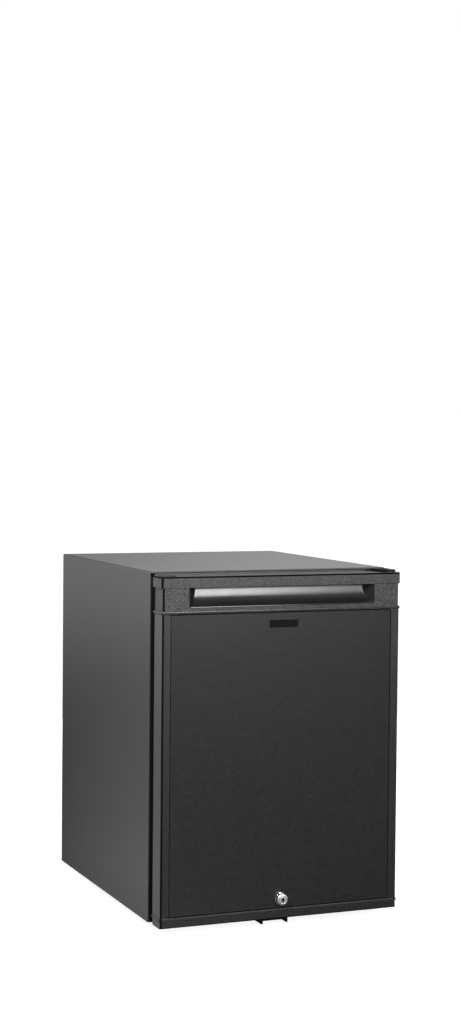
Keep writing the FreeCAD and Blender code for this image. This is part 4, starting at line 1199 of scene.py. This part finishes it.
@dataclass
class CoolingUnit(Part):
    """Welds, fins with collars, jacket seam and bands, and the charging stub."""

    unit_y: float = 219.0
    boiler_x: float = -120.0
    condenser: tuple[Flat, Flat] = ((-50, 512), (140, 498))
    first_fin: float = -40.0
    fin_pitch: float = 9.8
    fin: Places = (
        (19, 3, -1.2), (20.2, 3.4, -0.4), (26, 4, -0.3), (26, 4, 0.3), (20, 3.4, 0.2), (18.9, 3, -0.6))
    collar: Outline = ((9, -0.9), (11.4, -0.9), (10, -0.1), (9.6, 3.4), (9, 3.6))
    welds: tuple[tuple[Flat, Point, float], ...] = (
        ((-57, 75), RIGHTWARD, 26), ((137, 75), RIGHTWARD, 26), ((-56, 100.6), UP, 8.6),
        ((149.6, 75), RIGHTWARD, 11), ((168, 386), UP, 8.8), ((-50, 512), (1, 0, -0.074), 9.4),
        ((140, 498), (1, 0, -0.074), 8.2), ((-84.6, 301), RIGHTWARD, 8.2))
    stub: Places = ((148, 227, 66), (160, 227, 66), (164, 228, 68), (165, 228, 74))
    pinch: Box = ((161.6, 227.2, 73), (168.4, 228.8, 86))
    band: Outline = ((34.6, -4), (35.4, -3.7), (35.8, -2.6), (35.5, 0), (35.8, 2.6), (35.4, 3.7), (34.6, 4))
    band_levels: Point = (102, 216, 333)
    lap: Box = ((-155.7, 213, 95), (-153.4, 225, 340))
    rivet: Outline = ((0, 0), (2.4, 0), (2.2, 0.6), (1.4, 1.1), (0, 1.3))
    rivet_x: float = -155.6
    rivet_start: float = 118.0
    rivet_pitch: float = 28.0

    def build(self) -> None:
        """Make the parts that dress the cooling unit."""
        self._fins()
        self._welds()
        self._jacket()

    def _fins(self) -> None:
        """Condenser fins with rounded corners, a stamped square and a collar."""
        fins = self.mould("collared_fins")
        (start, top), (end, low) = self.condenser
        slope = (low - top) / (end - start)
        for i in range(18):
            x = self.first_fin + self.fin_pitch * i
            z = top + slope * (x - start)
            fins.loft([hoop(Plane.SIDE, (self.unit_y, z), (half, half), corner, x + offset, 4)
                       for half, corner, offset in self.fin])
            fins.turned(self.collar, (x, self.unit_y, z), (1, 0, slope), 24, looped=True)
        fins.finish("cabinet", "unit_black", ["condenser_fins"])

    def _welds(self) -> None:
        """Weld beads of the vessel and of the tubes, and the pinched charging stub."""
        welds = self.mould("weld_beads")
        for (x, z), along, radius in self.welds:
            middle = Vector((x, self.unit_y, z))
            ring = circle(middle, Vector(along), radius, 48)
            wavy = [middle + (point - middle) * (1 + 0.35 * math.sin(11.0 * i) / radius)
                    for i, point in enumerate(ring)]
            welds.piped(wavy, 1.5, 8, looped=True)
        welds.piped(self.stub, 2.6, 12)
        welds.block(*self.pinch, 0.5)
        welds.finish("cabinet", "unit_black")

    def _jacket(self) -> None:
        """Rolled bands and the riveted lap seam of the boiler's jacket."""
        bands = self.mould("jacket_bands")
        for level in self.band_levels:
            bands.turned(self.band, (self.boiler_x, self.unit_y, level), UP, 64, looped=True)
        bands.block(*self.lap, 0.3)
        for i in range(8):
            place = (self.rivet_x, self.unit_y, self.rivet_start + self.rivet_pitch * i)
            bands.turned(self.rivet, place, LEFTWARD, 16)
        bands.finish("cabinet", "zinc_sheet")


@dataclass
class RearWall(Part):
    """Pressed beads and edge screws of the back panel, and the control box's lid and gland."""

    panel_y: float = 182.0
    bead_levels: Point = (245, 447, 532)
    bead_half: Flat = (150, 6)
    bead_corner: float = 5.9
    bead: Outline = ((0, -0.2), (0.5, 0.3), (1.4, 0.8), (2.6, 1.05))
    screw_x: float = 191.0
    screw_levels: tuple[float, ...] = (40, 170, 300, 430, 536)
    lid_screws: Places = ((-177, 246.6, 49), (-99, 246.6, 25))
    lid: Box = ((-183.3, 245.6, 18.7), (-92.7, 246.8, 55.3))
    lid_rib: Box = ((-141, 246.4, 26), (-138.8, 247.7, 47))
    lid_top: Box = ((-184.6, 186, 50.4), (-91.4, 245, 51.6))
    gland_place: Point = (-160, 246, 34)
    gland_nut: Outline = ((3.7, 0), (8.3, 0), (8.3, 4.4), (7.6, 5), (3.7, 5))
    gland: Outline = ((3.6, 4.6), (6.9, 4.6), (7.1, 5.2), (6.9, 7.6), (6, 9.2), (4.8, 9.9), (3.6, 10))

    def build(self) -> None:
        """Make the pressed beads, the screws, the lid and the gland."""
        beads, screws, lid, gland = (self.mould(name) for name in (
            "pressed_beads", "panel_screws", "control_box_lid", "ribbed_gland"))
        for level in self.bead_levels:
            beads.loft([hoop(Plane.FRONT, (0, level), grown(self.bead_half, -drawn),
                             self.bead_corner - drawn, self.panel_y + y, 6) for drawn, y in self.bead])
        beads.finish("cabinet", "zinc_sheet")
        screw = Screw(self.wardrobe)
        edges = [(x, self.panel_y - 0.2, z) for x in (-self.screw_x, self.screw_x) for z in self.screw_levels]
        screw.drive(screws, edges, BACKWARD, 0.8)
        screw.drive(screws, self.lid_screws, BACKWARD, 0.65)
        screws.finish("cabinet", "steel")
        lid.block(*self.lid, 0.4)
        for shift in [Vector((4.6 * i, 0, 0)) for i in range(9)]:
            lid.block(*(Vector(corner) + shift for corner in self.lid_rib), 0.5)
        lid.block(*self.lid_top, 0.4)
        lid.finish("cabinet", "box_plastic")
        gland.turned(self.gland_nut, self.gland_place, BACKWARD, 6, looped=True)
        gland.turned(self.gland, self.gland_place, BACKWARD, 40, looped=True, ridges=0.4)
        gland.finish("cabinet", "lead_rubber", ["cable_gland"])


# Studio


@dataclass(frozen=True)
class Softbox:
    """A rectangular soft lamp that stands or hangs in the studio."""

    name: str
    place: Point
    aim: Point
    size: Flat
    radiance: float

    def build(self) -> None:
        """Make the lamp, with its power worked out from its size and radiance."""
        data = bpy.data.lights.new(self.name, "AREA")
        data.shape = "RECTANGLE"
        data.size, data.size_y = self.size
        data.energy = self.radiance * math.pi * self.size[0] * self.size[1]
        lamp = bpy.data.objects.new(self.name, data)
        bpy.context.scene.collection.objects.link(lamp)
        way = Vector(self.aim) - Vector(self.place)
        lamp.location = self.place
        lamp.rotation_euler = way.to_track_quat("-Z", "Y").to_euler()
        lamp.visible_camera = False


@dataclass
class Studio:
    """Pale floor, soft light and the camera of the photograph.

    The mirrored levels are the brightness that a mirror image of the floor or of the
    surroundings has. Each pair of a sector is a stretch of direction or of floor, in metres,
    over which one level turns into the next.
    """

    floor_half: float = 14.0
    floor_glow: float = 0.90
    floor_shade: float = 0.5
    floor_front: float = 0.135
    floor_behind: Flat = (0.36, 0.03)
    floor_far: float = 1.15
    floor_rear: float = 0.42
    depth_sector: Flat = (-0.9, 0.4)
    far_sector: Flat = (2.4, 6.5)
    slant: float = 0.36
    slant_sector: Flat = (-0.32, 0.08)
    rear_sectors: tuple[tuple[Flat, Flat], ...] = (((-0.18, 0.1), (0.27, 0.6)), ((0.24, 0.5), (-0.22, 0.1)))
    world_diffuse: float = 0.34
    mirrored_left: float = 1.25
    mirrored_middle: float = 0.19
    mirrored_right: float = 0.70
    mirrored_front: float = 0.16
    mirrored_top: float = 0.42
    left_sector: Flat = (-0.42, -0.22)
    right_sector: Flat = (0.2, 0.42)
    behind_sector: Flat = (-0.3, 0.5)
    overhead_sector: Flat = (0.35, 0.7)
    sensor: float = 36.0
    focal_pixels: float = 1865.9
    frame_pixels: float = 1024.0
    azimuth: float = math.radians(-22.22)
    elevation: float = math.radians(2.224)
    roll: float = math.radians(0.535)
    station: Point = (-1.16406, -2.87620, 0.75645)
    lamps: tuple[Softbox, ...] = (
        Softbox("right_softbox", (0.90, -3.0, 1.62), (0.0, -0.24, 0.52), (0.74, 1.9), 18.6),
        Softbox("right_fill", (2.05, -2.55, 1.55), (0.0, -0.24, 0.52), (1.5, 1.7), 1.0),
        Softbox("left_softbox", (-0.75, -0.72, 1.08), (-0.2, -0.15, 0.4), (0.4, 0.4), 41.5),
        Softbox("overhead_softbox", (0.0, 0.3, 2.6), (0.0, 0.0, 0.5), (2.2, 2.2), 0.5),
        Softbox("rear_softbox", (0.45, 1.9, 0.29), (0.0, 0.26, 0.29), (1.6, 0.5), 4.5),
    )

    def build(self) -> None:
        """Make the camera, the world, the floor and the lamps."""
        self._camera()
        self._world()
        self._floor()
        for lamp in self.lamps:
            lamp.build()

    def _camera(self) -> None:
        """Put the camera where the photograph was taken from."""
        data = bpy.data.cameras.new("camera")
        data.sensor_width = self.sensor
        data.lens = self.sensor * self.focal_pixels / self.frame_pixels
        data.clip_end = 60.0
        camera = bpy.data.objects.new("camera", data)
        bpy.context.scene.collection.objects.link(camera)
        sine, cosine = math.sin(self.azimuth), math.cos(self.azimuth)
        level = math.cos(self.elevation)
        back = Vector((sine * level, -cosine * level, math.sin(self.elevation)))
        right = Vector((cosine, sine, 0.0))
        up = back.cross(right)
        turned_right = right * math.cos(self.roll) + up * math.sin(self.roll)
        turned_up = up * math.cos(self.roll) - right * math.sin(self.roll)
        axes = Matrix((turned_right, turned_up, back)).transposed().to_4x4()
        camera.matrix_world = Matrix.Translation(self.station) @ axes
        bpy.context.scene.camera = camera

    def _world(self) -> None:
        """White background, shown dimmer in mirror images towards the front and overhead."""
        world = bpy.data.worlds.new("studio")
        bpy.context.scene.world = world
        world.use_nodes = True
        graph = Graph(world.node_tree)
        way = graph.add("ShaderNodeTexCoord", output="Generated")
        x, y, z = (graph.axis(number, way) for number in range(3))
        backdrop = x.ramp(*self.left_sector, self.mirrored_left, self.mirrored_middle)
        backdrop = backdrop + x.ramp(*self.right_sector, 0.0, self.mirrored_right - self.mirrored_middle)
        behind, overhead = y.ramp(*self.behind_sector), z.ramp(*self.overhead_sector)
        mirrored = (1.0 - behind) * self.mirrored_front + behind * backdrop
        mirrored = mirrored * (1.0 - overhead) + overhead * self.mirrored_top
        shown, glossy = graph.rays()
        level = (1.0 - shown) * (glossy * mirrored + (1.0 - glossy) * self.world_diffuse) + shown
        background = graph.add("ShaderNodeBackground", inputs={0: WHITE_LIGHT, 1: level})
        graph.add("ShaderNodeOutputWorld", inputs={0: background})

    def _floor(self) -> None:
        """Lay a pale floor that glows white to the camera and keeps a faint shadow."""
        half = self.floor_half
        mesh = bpy.data.meshes.new("floor")
        corners = [(-half, -half, 0.0), (half, -half, 0.0), (half, half, 0.0), (-half, half, 0.0)]
        mesh.from_pydata(corners, [], [(0, 1, 2, 3)])
        floor = bpy.data.objects.new("floor", mesh)
        bpy.context.scene.collection.objects.link(floor)
        material = bpy.data.materials.new("floor")
        material.use_nodes = True
        graph = Graph(material.node_tree)
        x, y = graph.axis(0), graph.axis(1)
        across = (y * self.slant + x).ramp(*self.slant_sector, *self.floor_behind)
        mirrored = y.ramp(*self.depth_sector, self.floor_front, 0.0) + y.ramp(*self.depth_sector) * across
        mirrored = mirrored + y.ramp(*self.far_sector, 0.0, self.floor_far)
        behind, beside = (x.ramp(*wide) * y.ramp(*deep) for wide, deep in self.rear_sectors)
        mirrored = mirrored.most(behind.most(beside) * self.floor_rear)
        shown, glossy = graph.rays()
        shade = (1.0 - glossy) * self.floor_shade + glossy * mirrored
        matt = graph.add("ShaderNodeBsdfDiffuse", inputs={0: graph.grey(shade)})
        light = graph.add("ShaderNodeEmission", inputs={0: WHITE_LIGHT, 1: shown * self.floor_glow})
        both = graph.add("ShaderNodeAddShader", inputs={0: matt, 1: light})
        graph.add("ShaderNodeOutputMaterial", inputs={"Surface": both})
        mesh.materials.append(material)


def main() -> None:
    """Build every class in order and report the pieces."""
    logging.basicConfig(level=logging.INFO, format="%(name)s: %(message)s")
    bpy.context.scene.view_settings.view_transform = "Standard"
    wardrobe = Wardrobe()
    Studio().build()
    wardrobe.dress_nodes()
    for part in (FrontPanel, TopHinge, HandleTrim, DoorLock, Fasteners, Feet, DoorSeal, RackTrim, Console,
                 Sensor, CoolingUnit, RearWall):
        part(wardrobe).build()


if __name__ == "__main__":
    main()
